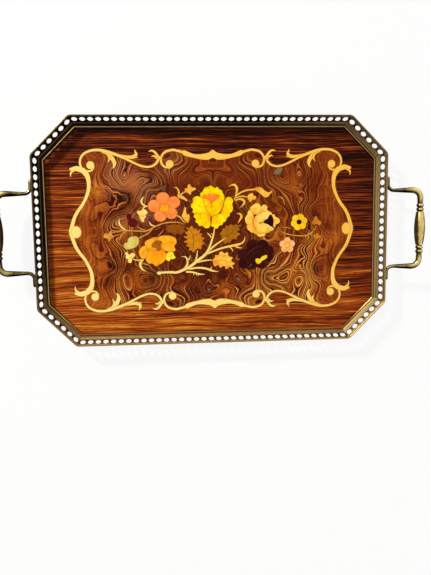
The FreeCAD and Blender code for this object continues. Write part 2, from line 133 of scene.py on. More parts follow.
# %% Wires and finishes
class Wire:
    """One output socket; arithmetic on it adds Math nodes."""

    def __init__(self, finish, socket):
        self.finish = finish
        self.socket = socket

    def __add__(self, other):
        return self.finish.math("ADD", self, other)

    __radd__ = __add__

    def __sub__(self, other):
        return self.finish.math("SUBTRACT", self, other)

    def __rsub__(self, other):
        return self.finish.math("SUBTRACT", other, self)

    def __mul__(self, other):
        return self.finish.math("MULTIPLY", self, other)

    __rmul__ = __mul__


def linear(colour):
    """A written colour as the four linear numbers that a socket takes."""
    parts = [int(colour[k:k + 2], 16) / 255 for k in (1, 3, 5)]
    return [p / 12.92 if p <= 0.04045 else ((p + 0.055) / 1.055) ** 2.4 for p in parts] + [1.0]


class Finish:
    """One material and the nodes behind it."""

    def __init__(self, name):
        self.material = bpy.data.materials.new(name)
        self.material.use_nodes = True
        self.tree = self.material.node_tree
        self.shader = self.tree.nodes["Principled BSDF"]

    def plug(self, socket, value):
        """A link from a wire, or a plain value set on the socket."""
        if isinstance(value, Wire):
            self.tree.links.new(value.socket, socket)
        elif isinstance(value, str):
            socket.default_value = linear(value)
        else:
            socket.default_value = value

    def node(self, kind, settings, sockets, output=0):
        made = self.tree.nodes.new("ShaderNode" + kind)
        for key, value in settings.items():
            if key == "stops":
                self.set_stops(made.color_ramp.elements, value)
            else:
                setattr(made, key, value)
        for key, value in sockets.items():
            self.plug(made.inputs[key], value)
        return Wire(self, made.outputs[output])

    def set_stops(self, elements, stops):
        while len(elements) < len(stops):
            elements.new(1.0)
        for element, (position, colour) in zip(elements, stops):
            element.position = position
            element.color = linear(colour)

    def math(self, operation, *values):
        return self.node("Math", {"operation": operation}, dict(enumerate(values)))

    def vector(self, operation, *values, output=0):
        return self.node("VectorMath", {"operation": operation}, dict(enumerate(values)), output)

    def mix(self, share, first, second, blend="MIX"):
        settings = {"data_type": "RGBA", "blend_type": blend}
        return self.node("Mix", settings, {0: share, 6: first, 7: second}, 2)

    def ramp(self, value, *stops):
        return self.node("ValToRGB", {"stops": stops}, {"Fac": value})

    def step(self, value, low, high):
        """Nought below low, one above high, and a smooth rise between them."""
        sockets = {"Value": value, "From Min": low, "From Max": high}
        return self.node("MapRange", {"interpolation_type": "SMOOTHSTEP"}, sockets)

    def place(self):
        return self.node("TexCoord", {}, {}, "Object")

    def stretched(self, place, scale):
        return self.node("Mapping", {}, {"Vector": place, "Scale": scale})

    def noise(self, place, scale=1.0, detail=2.0, roughness=0.5, output=0):
        sockets = {"Vector": place, "Scale": scale, "Detail": detail, "Roughness": roughness}
        return self.node("TexNoise", {}, sockets, output)

    def axis(self, place, name):
        return self.node("SeparateXYZ", {}, {"Vector": place}, name)

    def attribute(self, name, output):
        return self.node("Attribute", {"attribute_name": name}, {}, output)

    def surface(self, bump=None, bump_depth=0.0, **values):
        """Sets the shader: a wire where a value varies, a plain number where it doesn't."""
        for key, value in values.items():
            self.plug(self.shader.inputs[key.replace("_", " ")], value)
        if bump:
            relief = self.node("Bump", {}, {"Height": bump, "Distance": bump_depth})
            self.plug(self.shader.inputs["Normal"], relief)
        print("finish:", self.material.name, len(self.tree.nodes), "nodes")


# %% [markdown]
# A rod is a round section that is pulled on, widened, narrowed and bent, as a smith and a turner do
# it. A curve with a round bevel could make it too, but a section that is pulled ring by ring takes
# its own radius, and its own share of grime, at each place. The floor, the handles and the rivets
# are made so. A finished piece gets smooth faces and crisp edges, and is told what it stands for.

# %% Rods and finished pieces
SHARP = math.radians(32)


def verts_of(geom):
    return [item for item in geom if isinstance(item, bmesh.types.BMVert)]


def edges_of(geom):
    return [item for item in geom if isinstance(item, bmesh.types.BMEdge)]


def all_of(bm):
    return bm.verts[:] + bm.edges[:] + bm.faces[:]


def to_metres(bm):
    """A mesh drawn in millimetres, at its real size."""
    bmesh.ops.scale(bm, verts=bm.verts, vec=(MM, MM, MM))
    return bm


def join_into(whole, part):
    """Adds a part to a whole and frees it."""
    scrap = bpy.data.meshes.new("scrap")
    part.to_mesh(scrap)
    part.free()
    whole.from_mesh(scrap)
    bpy.data.meshes.remove(scrap)


class Rod:
    """A round section that is pulled, widened and bent, as a rod is forged and turned."""

    def __init__(self, centre, heading, radius, segments):
        self.bm = bmesh.new()
        self.groove = self.bm.verts.layers.float.new("groove")
        made = bmesh.ops.create_circle(self.bm, cap_ends=True, segments=segments, radius=radius)
        self.ring = made["verts"]
        self.radius = radius
        turn = heading.to_track_quat("Z", "Y").to_matrix().to_4x4()
        bmesh.ops.transform(self.bm, matrix=Matrix.Translation(centre) @ turn, verts=self.ring)

    def edges(self):
        ring = set(self.ring)
        return [edge for edge in self.bm.edges if ring.issuperset(edge.verts)]

    def pull(self, step, radius, groove=0.0):
        made = bmesh.ops.extrude_edge_only(self.bm, edges=self.edges())["geom"]
        self.ring = verts_of(made)
        bmesh.ops.translate(self.bm, verts=self.ring, vec=step)
        middle = sum((vert.co for vert in self.ring), Vector()) / len(self.ring)
        share = radius / self.radius
        bmesh.ops.scale(self.bm, verts=self.ring, vec=(share,) * 3, space=Matrix.Translation(-middle))
        for vert in self.ring:
            vert[self.groove] = groove
        self.radius = radius

    def pull_through(self, axis, at, profile):
        """Pulls along an axis from one place through the places and radii of a profile."""
        for place, radius, *groove in profile:
            self.pull(axis * (place - at), radius, *groove)
            at = place

    def bend(self, centre, axis, angle, steps):
        geom = self.ring + self.edges()
        made = bmesh.ops.spin(self.bm, geom=geom, cent=centre, axis=axis, angle=angle, steps=steps)
        self.ring = verts_of(made["geom_last"])

    def close(self):
        bmesh.ops.edgeloop_fill(self.bm, edges=self.edges())


def mesh_object(name, bm, finish):
    """Turns a bmesh into an object with smooth faces and crisp edges."""
    for face in bm.faces:
        face.smooth = True
    for edge in bm.edges:
        edge.smooth = edge.calc_face_angle(0.0) < SHARP
    mesh = bpy.data.meshes.new(name)
    bm.to_mesh(mesh)
    bm.free()
    mesh.materials.append(finish.material)
    made = bpy.data.objects.new(name, mesh)
    scene.collection.objects.link(made)
    return made


def add_piece(name, bm, finish, slot, *nodes):
    """A finished piece that rides on the tray and stands for the nodes named."""
    bmesh.ops.recalc_face_normals(bm, faces=bm.faces)
    piece = mesh_object(name, bm, finish)
    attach(piece, "root")
    if nodes:
        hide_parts(*nodes)
    print("piece:", name, len(piece.data.polygons), "faces")


print("edges stay crisp from", round(math.degrees(SHARP)), "degrees")

# %% [markdown]
# The floor is a wide pale sweep that curves up into a wall all round, so every view has the same
# plain background. A plane and a white world would do for one view, but not for a low one. Seen by
# the camera or in a reflection the card glows nearly white, and the rest of its surface is ordinary
# matt card, which keeps the tray's shadow.

# %% Floor and backdrop
FLOOR_RADIUS = 2.2
FLOOR_SEGMENTS = 96
SWEEP_RADIUS = 0.8
SWEEP_STEPS = 8
WALL_HEIGHT = 1.4
GLOW = 0.9

card = Finish("pale_card")
card.surface(Base_Color="#e9e6e0", Roughness=0.9)
seen = card.node("LightPath", {}, {}, "Is Camera Ray")
for kind in ("Is Glossy Ray", "Is Transmission Ray"):
    seen = card.math("MAXIMUM", seen, card.node("LightPath", {}, {}, kind))
white = card.node("Emission", {}, {"Color": (1, 1, 1, 1), "Strength": 1.0})
matt = Wire(card, card.shader.outputs[0])
shown = card.node("MixShader", {}, {0: seen * GLOW, 1: matt, 2: white})
card.plug(card.tree.nodes["Material Output"].inputs["Surface"], shown)

sweep = Rod(Vector(), UP, FLOOR_RADIUS, FLOOR_SEGMENTS)
for k in range(SWEEP_STEPS):
    before = math.pi / 2 * k / SWEEP_STEPS
    after = math.pi / 2 * (k + 1) / SWEEP_STEPS
    rise = SWEEP_RADIUS * (math.cos(before) - math.cos(after))
    sweep.pull(UP * rise, FLOOR_RADIUS + SWEEP_RADIUS * math.sin(after))
sweep.pull(UP * WALL_HEIGHT, sweep.radius)
mesh_object("floor", sweep.bm, card)
print("floor:", FLOOR_RADIUS, "m")

# %% [markdown]
# Rosewood is a dark red-brown wood with near-black streaks that run along the tray. A wave texture
# gives even stripes, so the streaks are noise stretched along X instead: broad bands, finer lines
# and short pores. The wood is warmer and lighter towards the front and the left end. A thin dark
# line of painted shade follows the edge of the octagon, in the corner where the brass shades the
# wood. It is weaker at the front and the right.

# %% Rosewood border
HALF_LENGTH = 192
HALF_WIDTH = 119.5
CORNER_CUT = 37
CORNER_SHADE_LINE = (2.3, 3.5)
PORE_DEPTH = 0.00004
LACQUER = {"Specular_IOR_Level": 0.08, "Coat_Weight": 0.15, "Coat_Roughness": 0.06}


def away_from_shaded_back_left(finish, place):
    """A number that grows from the back left, where the painted shade is strongest, to the front right.
    """
    return finish.axis(place, "X") * 2.4 - finish.axis(place, "Y") * 4.0


rosewood = Finish("rosewood_veneer")
place = rosewood.place()
drift = rosewood.noise(place, scale=9, detail=1)
wander = rosewood.vector("ADD", place, rosewood.node("CombineXYZ", {}, {"Y": drift * 0.010 - 0.005}))
bands = rosewood.noise(rosewood.stretched(wander, (5, 150, 1)), detail=2)
lines = rosewood.noise(rosewood.stretched(wander, (15, 760, 1)), detail=3, roughness=0.7)
pores = rosewood.noise(rosewood.stretched(wander, (90, 1500, 1)), detail=1)
along = rosewood.axis(place, "X")
across = rosewood.axis(place, "Y")
# Warmer and lighter towards the front and the left end.
warmth = along * -0.5 - across * 1.9
tone = 0.42 + (bands - 0.5) * 0.9 + (lines - 0.5) * 2.7 + warmth
wood = rosewood.ramp(
    tone,
    (0.05, "#1a0400"),
    (0.30, "#4a1402"),
    (0.55, "#8a3406"),
    (0.80, "#b85a10"),
    (1.00, "#da8c30"),
)
pore_mask = rosewood.step(pores, 0.56, 0.70)
wood = rosewood.mix(pore_mask * 0.6, wood, "#1c0805")
from_end = HALF_LENGTH * MM - rosewood.math("ABSOLUTE", along)
from_side = HALF_WIDTH * MM - rosewood.math("ABSOLUTE", across)
from_corner = (from_end + from_side - CORNER_CUT * MM) * math.sqrt(0.5)
inset = rosewood.math("MINIMUM", rosewood.math("MINIMUM", from_end, from_side), from_corner)
# Painted shade: a thin dark line along the octagon's edge, where the brass shades the wood, weaker
# towards the front right.
painted_corner_shade = 1 - rosewood.step(inset, CORNER_SHADE_LINE[0] * MM, CORNER_SHADE_LINE[1] * MM)
front_right_share = rosewood.step(away_from_shaded_back_left(rosewood, place), -0.05, 0.30)
wood = rosewood.mix(painted_corner_shade * (0.9 - front_right_share * 0.5), wood, "#100400")
rosewood.surface(Base_Color=wood, Roughness=0.42, bump=pores, bump_depth=PORE_DEPTH, **LACQUER)

# %% [markdown]
# The field is burl: growth lines that swirl round knots. The four quarters are cut from leaves that
# lay on each other in the log, so the soft swirl is mirrored both ways about the middle, and only
# the knots differ from leaf to leaf. A picture of burl could be laid on. Here the field is drawn: a
# height is made of soft noise with a hill at each knot, and the growth lines are its contours. They
# run straight at the ends. The wood is darker round the bouquet and lighter at the front right.

# %% Burl field
PATTERN_MIDDLE = Vector((0.7, 0.9, 0)) * MM
# Knots from the middle of the pattern: place, size, and how grey the heart is
KNOTS = [
    (76, 68, 6, 0.7), (103, 51, 4, 0.6), (26, -58, 4, 0.6), (62, -55, 5, 0.35), (101, -46, 3, 0.0),
    (123, -49, 5, 0.0), (122, 16, 5, 0.0), (-101, 40, 7, 0.1), (-72, 60, 4, 0.0), (-57, 50, 5, 0.3),
    (-70, 15, 5, 0.2), (-117, -40, 4, 0.0), (-72, -54, 5, 0.0), (-37, -54, 5, 0.2), (-5, -71, 4, 0.5),
]
KNOT_SPREAD = 4.5
KNOT_RISE = 2.6
RINGS_PER_METRE = 520
RING_CONTRAST = 4.0
BOUQUET_MIDDLE = (-0.016, -0.004, 0)
BOUQUET_SHAPE = (10.5, 13.5, 0)
FLATTEN = (1, 1, 0)

burl = Finish("burl_veneer")
spot = burl.vector("MULTIPLY", burl.vector("SUBTRACT", burl.place(), PATTERN_MIDDLE), FLATTEN)
folded = burl.vector("ABSOLUTE", spot)
end_share = burl.step(burl.axis(folded, "X"), 0.112, 0.140)
swirl = burl.noise(folded, scale=27, detail=1.0, roughness=0.4)
height = burl.axis(folded, "X") * 0.5 + (swirl - 0.5) * 0.055
wobble = burl.vector("SUBTRACT", burl.noise(spot, scale=80, detail=1, output=1), (0.5, 0.5, 0.5))
uneven = burl.vector("ADD", spot, burl.vector("MULTIPLY", wobble, (0.011, 0.009, 0)))
hearts = 0.0
halos = 0.0
for x, y, size, grey in KNOTS:
    reach = burl.vector("DISTANCE", uneven, (x * MM, y * MM, 0), output=1)
    hill = 1 - burl.step(reach, 0.0, size * KNOT_SPREAD * MM)
    height = height + hill * (size * KNOT_RISE * MM)
    halos = halos + (1 - burl.step(reach, size * 0.2 * MM, size * 1.6 * MM))
    if grey:
        hearts = hearts + (1 - burl.step(reach, size * 0.35 * MM, size * 0.8 * MM)) * grey
years = burl.node("CombineXYZ", {}, {"X": height * RINGS_PER_METRE})
growth = burl.noise(years, detail=3, roughness=0.75)
strength = 0.35 + burl.step(burl.noise(folded, scale=30, detail=1), 0.35, 0.60)
combing = burl.node("CombineXYZ", {}, {"X": swirl * 0.03})
straight = burl.noise(burl.stretched(burl.vector("ADD", folded, combing), (480, 14, 1)), detail=3)
speckle = burl.noise(burl.stretched(spot, (1000, 600, 1)), detail=1)
cloud = burl.noise(burl.stretched(spot, (24, 30, 1)), detail=2)
from_bouquet = burl.vector("SUBTRACT", spot, BOUQUET_MIDDLE)
near_bouquet = burl.vector("LENGTH", burl.vector("MULTIPLY", from_bouquet, BOUQUET_SHAPE), output=1)
dusk = 1 - burl.step(near_bouquet, 0.45, 1.05)
sunny = burl.step(burl.axis(spot, "Y"), -0.02, -0.05) * burl.step(burl.axis(spot, "X"), 0.01, 0.06)
sunny = sunny * (1 - end_share)
contrast = (strength + sunny * 0.5) * RING_CONTRAST * (1 - end_share * 0.7)
swirled = (growth - 0.53) * contrast + sunny * 0.15
combed = (straight - 0.5) * 0.9 * end_share
figure = 0.53 + swirled + combed + (speckle - 0.5) * 0.5 + (cloud - 0.5) * 0.9 - halos * 0.24
field = burl.ramp(
    figure,
    (0.10, "#240802"),
    (0.34, "#602004"),
    (0.55, "#94420c"),
    (0.75, "#ba681c"),
    (0.95, "#dca04a"),
)
redder = burl.step(burl.axis(spot, "X") * 0.4 + burl.axis(spot, "Y"), 0.0, 0.10)
field = burl.mix(redder * 0.42, field, "#641c00")
field = burl.mix(dusk * 0.82, field, "#4c1200")
# Painted sheen: a patchy grey-mauve patch at the back left of the field, where the lacquer shows a
# reflection.
painted_sheen = burl.step(burl.axis(spot, "X"), -0.02, -0.08) * burl.step(burl.axis(spot, "Y"), -0.01, 0.02)
painted_sheen = painted_sheen * burl.step(cloud, 0.42, 0.58) * (1 - end_share)
field = burl.mix(painted_sheen * burl.step(growth, 0.4, 0.7) * 0.5, field, "#957062")
field = burl.mix(hearts, field, "#8a7254")
burl.surface(Base_Color=field, Roughness=0.42, **LACQUER)

# %% [markdown]
# Boxwood is pale, close-grained and even. It is cream at the front left and stained more golden
# towards the back right, with a faint silky grain. Each scroll could have its own pattern, but one
# on the tray's coordinates runs on from scroll to scroll, as it does when all are sawn from one
# sheet. The saw cut round a piece is dark, and the piece carries it as an attribute.

# %% Boxwood
boxwood = Finish("boxwood_veneer")
place = boxwood.place()
silk = boxwood.noise(boxwood.stretched(place, (120, 700, 1)), detail=2)
patch = boxwood.noise(place, scale=45, detail=1)
warmth = boxwood.axis(place, "X") * 0.7 + boxwood.axis(place, "Y") + (patch - 0.5) * 0.12
golden = boxwood.step(warmth, -0.12, 0.12)
pale = boxwood.mix(golden, "#f6d678", "#f5b846")
pale = boxwood.mix(boxwood.step(silk, 0.45, 0.75) * 0.3, pale, "#d9a44a")
pale = boxwood.mix(boxwood.attribute("edge", "Fac") * 0.9, pale, "#4a1e0a")
boxwood.surface(Base_Color=pale, Roughness=0.4, **LACQUER)

# %% [markdown]
# The flowers are veneers dyed in many colours. Each colour could be a material, but one finish serves
# them all here: every petal carries its colour, the turn of its grain, the point that it is browned
# towards and its browned rim as attributes, so a new petal needs no new material.

# %% Dyed veneers
dyed = Finish("dyed_veneer")
place = dyed.place()
turned = dyed.node(
    "VectorRotate",
    {"rotation_type": "Z_AXIS"},
    {"Vector": place, "Angle": dyed.attribute("grain", "Fac")},
)
silk = dyed.noise(dyed.stretched(turned, (90, 1100, 1)), detail=3)
patch = dyed.noise(place, scale=130, detail=2)
tint = dyed.attribute("tint", "Color")
deep = dyed.mix(1.0, tint, "#e0a868", "MULTIPLY")
leafy = dyed.mix(dyed.step(silk * 0.6 + patch * 0.5, 0.42, 0.72) * 0.72, tint, deep)
root = dyed.attribute("root", "Vector")
reach = dyed.axis(root, "Z") + 0.00001
flat_place = dyed.vector("MULTIPLY", place, FLATTEN)
flat_root = dyed.vector("MULTIPLY", root, FLATTEN)
away = dyed.vector("DISTANCE", flat_place, flat_root, output=1)
scorch = 1 - dyed.step(away, reach * 0.1, reach)
burnt = dyed.mix(1.0, tint, "#eda53c", "MULTIPLY")
leafy = dyed.mix(scorch * 0.6, leafy, burnt)
edge = dyed.attribute("edge", "Fac")
leafy = dyed.mix(edge * 0.8, leafy, dyed.mix(1.0, tint, "#90500f", "MULTIPLY"))
dyed.surface(Base_Color=leafy, Roughness=0.4, **LACQUER)

# %% [markdown]
# The underside has a plain brown veneer, and the core is board that shows only at a gap between two
# petals. The border, the burl, the core and the underside keep their CAD shapes. A flat sheet needs
# no new mesh, so they only take on their finish.

# %% Underside, core and the finish of the board
backing = Finish("backing_veneer")
place = backing.place()
grain = backing.noise(backing.stretched(place, (7, 220, 1)), detail=4, roughness=0.6)
pores = backing.noise(backing.stretched(place, (80, 1500, 1)), detail=1)
plain = backing.ramp(grain, (0.25, "#4a2410"), (0.5, "#6b3a1a"), (0.75, "#8a5328"))
plain = backing.mix(backing.step(pores, 0.62, 0.75) * 0.5, plain, "#2c140a")
backing.surface(
    Base_Color=plain,
    Roughness=0.55,
    Specular_IOR_Level=0.3,
    bump=pores,
    bump_depth=PORE_DEPTH,
)

glue = Finish("core_board")
place = glue.place()
flakes = glue.noise(glue.stretched(place, (160, 240, 260)), detail=3)
dark = glue.ramp(flakes, (0.3, "#3a1609"), (0.7, "#5a2610"))
glue.surface(Base_Color=dark, Roughness=0.7)

BOARD_FINISHES = {"border_veneer": rosewood, "back_veneer": backing, "core_board": glue}
for name in frame["nodes"]:
    if name.startswith("burl_"):
        BOARD_FINISHES[name] = burl
for name, finish in BOARD_FINISHES.items():
    node = bpy.data.objects[name]
    for slot in node.material_slots:
        slot.material = finish.material
print("board nodes finished:", len(BOARD_FINISHES))

# %% [markdown]
# Marquetry is a jigsaw of thin sheets. A cutter saws each petal along a drawn line, dips its edge
# in hot sand to brown it, and glues all of them to the board. Here a drawn line is a flat curve
# through a few points. A closed curve becomes one face, and a ribbon follows an open line and its
# widths. Each is raised from the glue line to the surface, and laid a hair above the last one.

# %% Sawing and laying veneers
CORE_TOP = 7.2 * MM
BOARD_TOP = 8.0 * MM
LAYER = 0.004 * MM
SAME_POINT = 0.001 * MM
CURVE_STEPS = 6
OVAL_POINTS = 8
KERF = 0.5
KERF_TINT = "#3a1608"
BED_TINT = "#4c1b0a"


def drawn_line(points, closed):
    """A mesh of a flat smooth curve; a ribbon takes the third number of each point as its width."""
    curve = bpy.data.curves.new("line", "CURVE")
    curve.dimensions = "3D"
    curve.twist_mode = "Z_UP"
    curve.resolution_u = CURVE_STEPS
    if not closed:
        curve.extrude = MM / 2
    spline = curve.splines.new("BEZIER")
    spline.bezier_points.add(len(points) - 1)
    for knot, point in zip(spline.bezier_points, points):
        knot.co = Vector((point[0], point[1], 0)) * MM
        knot.handle_left_type = "AUTO"
        knot.handle_right_type = "AUTO"
        if not closed:
            knot.radius = point[2]
            knot.tilt = math.pi / 2
    spline.use_cyclic_u = closed
    holder = bpy.data.objects.new("line", curve)
    mesh = bpy.data.meshes.new_from_object(holder)
    bm = bmesh.new()
    bm.from_mesh(mesh)
    bpy.data.objects.remove(holder)
    bpy.data.curves.remove(curve)
    bpy.data.meshes.remove(mesh)
    if closed:
        bmesh.ops.edgeloop_fill(bm, edges=bm.edges)
    return bm


class Inlay:
    """The veneers of one flower, leaf or scroll, gathered in one mesh."""

    def __init__(self, level):
        self.bm = bmesh.new()
        self.level = level

    def lay(self, points, tint, root=(0, 0, 0), rim=0.0, grain=0.0, closed=True, burn=0.0):
        """Raises one sawn shape and gives it its colour, its browned rim and its grain."""
        shape = drawn_line(points, closed)
        edge = shape.verts.layers.float.new("edge")
        raised = bmesh.ops.extrude_face_region(shape, geom=shape.faces[:])["geom"]
        top = [item for item in raised if isinstance(item, bmesh.types.BMFace)]
        top_verts = {vert for face in top for vert in face.verts}
        bmesh.ops.translate(shape, verts=shape.verts, vec=UP * CORE_TOP)
        lift = BOARD_TOP - CORE_TOP + self.level * LAYER
        bmesh.ops.translate(shape, verts=list(top_verts), vec=UP * lift)
        if rim:
            bmesh.ops.inset_region(shape, faces=top, thickness=rim * MM, use_even_offset=True)
        inner = {vert for face in top for vert in face.verts} if rim else set(shape.verts)
        for vert in shape.verts:
            vert[edge] = burn if vert in inner else 1.0
        self.gather(shape, tint, root, grain)
        self.level += 1

    def bed(self, node, burn=0.0):
        """The node's own outline, a hair below the surface, so that no gap between petals is deep."""
        shape = bmesh.new()
        shape.from_mesh(bpy.data.objects[node].data)
        edge = shape.verts.layers.float.new("edge")
        for vert in shape.verts:
            vert[edge] = burn
        bmesh.ops.remove_doubles(shape, verts=shape.verts, dist=SAME_POINT)
        bmesh.ops.translate(shape, verts=shape.verts, vec=UP * -2 * LAYER)
        self.gather(shape, BED_TINT, (0, 0, 0), 0.0)

    def gather(self, shape, tint, root, grain):
        """Adds a finished shape, with its colour, the point it browns towards and its grain."""
        layers = shape.verts.layers
        tint_layer = layers.float_color.new("tint")
        root_layer = layers.float_vector.new("root")
        grain_layer = layers.float.new("grain")
        for vert in shape.verts:
            vert[tint_layer] = linear(tint)
            vert[root_layer] = Vector(root) * MM
            vert[grain_layer] = grain
        join_into(self.bm, shape)

    def ribbon(self, points, tint):
        """A tapering band with a dark saw line on both sides."""
        wide = [(x, y, width + KERF) for x, y, width in points]
        self.lay(wide, KERF_TINT, closed=False, burn=1.0)
        self.lay(points, tint, closed=False)


def oval(x, y, width, height, tilt=0.0):
    """A few points round an ellipse."""
    points = []
    for k in range(OVAL_POINTS):
        angle = 2 * math.pi * k / OVAL_POINTS
        arm = Vector((width / 2 * math.cos(angle), height / 2 * math.sin(angle)))
        arm.rotate(Matrix.Rotation(math.radians(tilt), 2))
        points.append((x + arm.x, y + arm.y))
    return points


print("veneer:", round((BOARD_TOP - CORE_TOP) / MM, 1), "mm thick")

# %% [markdown]
# The scroll frame is drawn once for one quarter and mirrored about the pattern's middle, as the
# cutter does with a folded paper pattern. A bracket stands at each end, a crest at each side and a
# leafy scroll in each corner. A row is a point of a ribbon's middle line and the width there, in
# millimetres. A volute is a ribbon that curls round a disc.

# %% Drawing the scroll frame
BRACKET = [
    (164.0, 0, 4.4), (158.2, 18, 3.6), (146.6, 36, 3.2), (141.5, 53, 4.0),
    (145.5, 67.3, 6.0), (154, 71.4, 5.8), (162.3, 70.6, 2.4),
]
BRACKET_HOOK = [(157, 69.5, 2.6), (160.8, 67, 2.0), (161.3, 62.3, 0.6)]
BRACKET_VOLUTE = [(147, 69.3, 2.4), (138.5, 69, 1.8), (134.9, 73.5, 2.0)]
BRACKET_DISC = (139, 75.2, 9.2, 9.2)
BRACKET_KNOB = (157.5, 0, 11.2, 14.0)
CORNER = [
    (149.2, 72, 2.2), (150.5, 79, 2.2), (147.2, 86.4, 2.4), (140.3, 90.6, 2.6), (131.8, 92, 2.8),
    (123, 91, 3.0), (112, 87.5, 3.2), (100.6, 82.9, 2.8), (90.4, 77.7, 2.3), (80.6, 73.7, 2.2),
    (72, 73.1, 2.2), (65.2, 76.5, 2.4), (62.4, 82, 3.0), (64.8, 87.8, 2.8), (68.9, 90.9, 2.2),
    (73.3, 90.2, 0.4),
]
CORNER_LEAVES = [
    [
        (112, 87.4, 2.4), (101, 84.8, 2.6), (95.4, 84, 3.2), (90.4, 84.2, 4.4), (87.3, 86.8, 3.2),
        (88, 89.8, 1.8), (89.2, 92.4, 0.2)],
    [(93, 83.3, 2.6), (85.2, 83.5, 0.4)],
    [
        (125.5, 90.6, 2.6), (118.8, 87.4, 3.2), (114.2, 82.5, 4.6), (112, 77.2, 3.8),
        (112.8, 73.2, 1.8), (114.8, 71.2, 0.2)],
    [(119, 86.8, 2.4), (117.3, 82.4, 2.4), (119.6, 78.2, 0.3)],
    [(64, 82.6, 2.2), (67.2, 85, 1.9), (70.3, 84.3, 0.3)],
]
CORNER_DISC = (61, 82.8, 4.8, 4.8)
CREST_UPPER = [(36, 90.6), (20, 87), (10, 87.6), (4.5, 89)]
CREST_LOWER = [(36, 88), (20, 82.2), (10, 80.4), (4, 80.8)]
CREST_PEAK = (0, 91.8)
CREST_DIP = (0, 82.5)
CREST_VOLUTE = [
    (34.6, 89.1, 2.7), (40, 90.7, 2.6), (47, 91.6, 2.6), (57.5, 86.5, 2.4), (57.6, 74.8, 2.2),
    (49, 71.5, 2.2),
]
CREST_DISC = (49.4, 76, 9.2, 9.2)
print("corner scroll:", len(CORNER_LEAVES), "leaves on a stalk of", len(CORNER), "points")

# %% [markdown]
# Each scroll is laid on a dark bed of its own outline, first the ribbons that lie below and then
# those that lie over them. The mirror image is drawn with changed signs rather than with a mirrored
# mesh, so that its faces don't turn inside out.

# %% Cutting the scroll frame
BOXWOOD_TINT = "#f0d080"
SCROLL_LEVEL = 2
SCROLL_RIM = 0.5
BOTH = (1, -1)


class Scroll(Inlay):
    """One boxwood scroll, on a dark bed of its own outline."""

    def __init__(self, node):
        super().__init__(SCROLL_LEVEL)
        self.node = node
        self.bed(node, burn=1.0)

    def in_quarter(self, points, sign_x, sign_y):
        """Drawn points in one quarter of the board."""
        middle = PATTERN_MIDDLE / MM
        return [(sign_x * x + middle.x, sign_y * y + middle.y, *width) for x, y, *width in points]

    def band(self, line, sign_x, sign_y):
        self.ribbon(self.in_quarter(line, sign_x, sign_y), BOXWOOD_TINT)

    def plate(self, outline, sign_x, sign_y):
        self.lay(self.in_quarter(outline, sign_x, sign_y), BOXWOOD_TINT, rim=SCROLL_RIM)

    def set_in(self):
        add_piece(self.node + "_veneers", self.bm, boxwood, "boxwood", self.node)


def bracket(scroll, sign_x):
    for sign_y in BOTH:
        for line in (BRACKET_VOLUTE, BRACKET_HOOK, BRACKET):
            scroll.band(line, sign_x, sign_y)
        scroll.plate(oval(*BRACKET_DISC), sign_x, sign_y)
    scroll.plate(oval(*BRACKET_KNOB), sign_x, 1)
    scroll.set_in()


def corner_scroll(scroll, sign_x, sign_y):
    for line in CORNER_LEAVES + [CORNER]:
        scroll.band(line, sign_x, sign_y)
    scroll.plate(oval(*CORNER_DISC), sign_x, sign_y)
    scroll.set_in()


def crest(scroll, sign_y):
    upper = CREST_UPPER + [CREST_PEAK] + [(-x, y) for x, y in CREST_UPPER[::-1]]
    lower = [(-x, y) for x, y in CREST_LOWER] + [CREST_DIP] + CREST_LOWER[::-1]
    scroll.plate(upper + lower, 1, sign_y)
    for sign_x in BOTH:
        scroll.band(CREST_VOLUTE, sign_x, sign_y)
        scroll.plate(oval(*CREST_DISC), sign_x, sign_y)
    scroll.set_in()


for sign_x, end in zip(BOTH, ("right", "left")):
    bracket(Scroll("scroll_bracket_" + end), sign_x)
    for sign_y, side in zip(BOTH, ("back", "front")):
        corner_scroll(Scroll("scroll_corner_" + side + "_" + end), sign_x, sign_y)
for sign_y, side in zip(BOTH, ("back", "front")):
    crest(Scroll("scroll_crest_" + side), sign_y)

# %% [markdown]
# The bouquet. Each flower is a list of petals from back to front. A row is its colour, the point
# it browns towards with the distance the browning reaches, and its outline. The outlines could be
# cut from one plate with a boolean, but petals that are laid over each other, as paper cut-outs are,
# need no cut that fits. Fine lines come last.

# %% Laying a flower
PETAL_RIM = 0.6
GRAIN_TURN = 0.6
NO_SCORCH = (0, 0, 0)
LEAF_LEVEL = 4
LOW_LEAF_LEVEL = 6
FLOWER_LEVEL = 8
CREAM_LEVEL = 12
EYE_LEVEL = 24
FOLD_LEVEL = 30


def lay_flower(name, slot, level, petals, lines=()):
    """Lays the petals of one flower on its bed, each with its grain turned further."""
    inlay = Inlay(level)
    inlay.bed(name)
    for k, (tint, root, outline) in enumerate(petals):
        inlay.lay(outline, tint, root=root, rim=PETAL_RIM, grain=GRAIN_TURN * k)
    for tint, line in lines:
        inlay.lay(line, tint, closed=False)
    add_piece(name + "_veneers", inlay.bm, dyed, slot, name)


print("petal rims are browned", PETAL_RIM, "mm deep")

# %% [markdown]
# Three large leaves with saw-toothed edges lie lowest. Their veins are ribbons, because a vein that
# is only painted wouldn't reach the exported mesh.

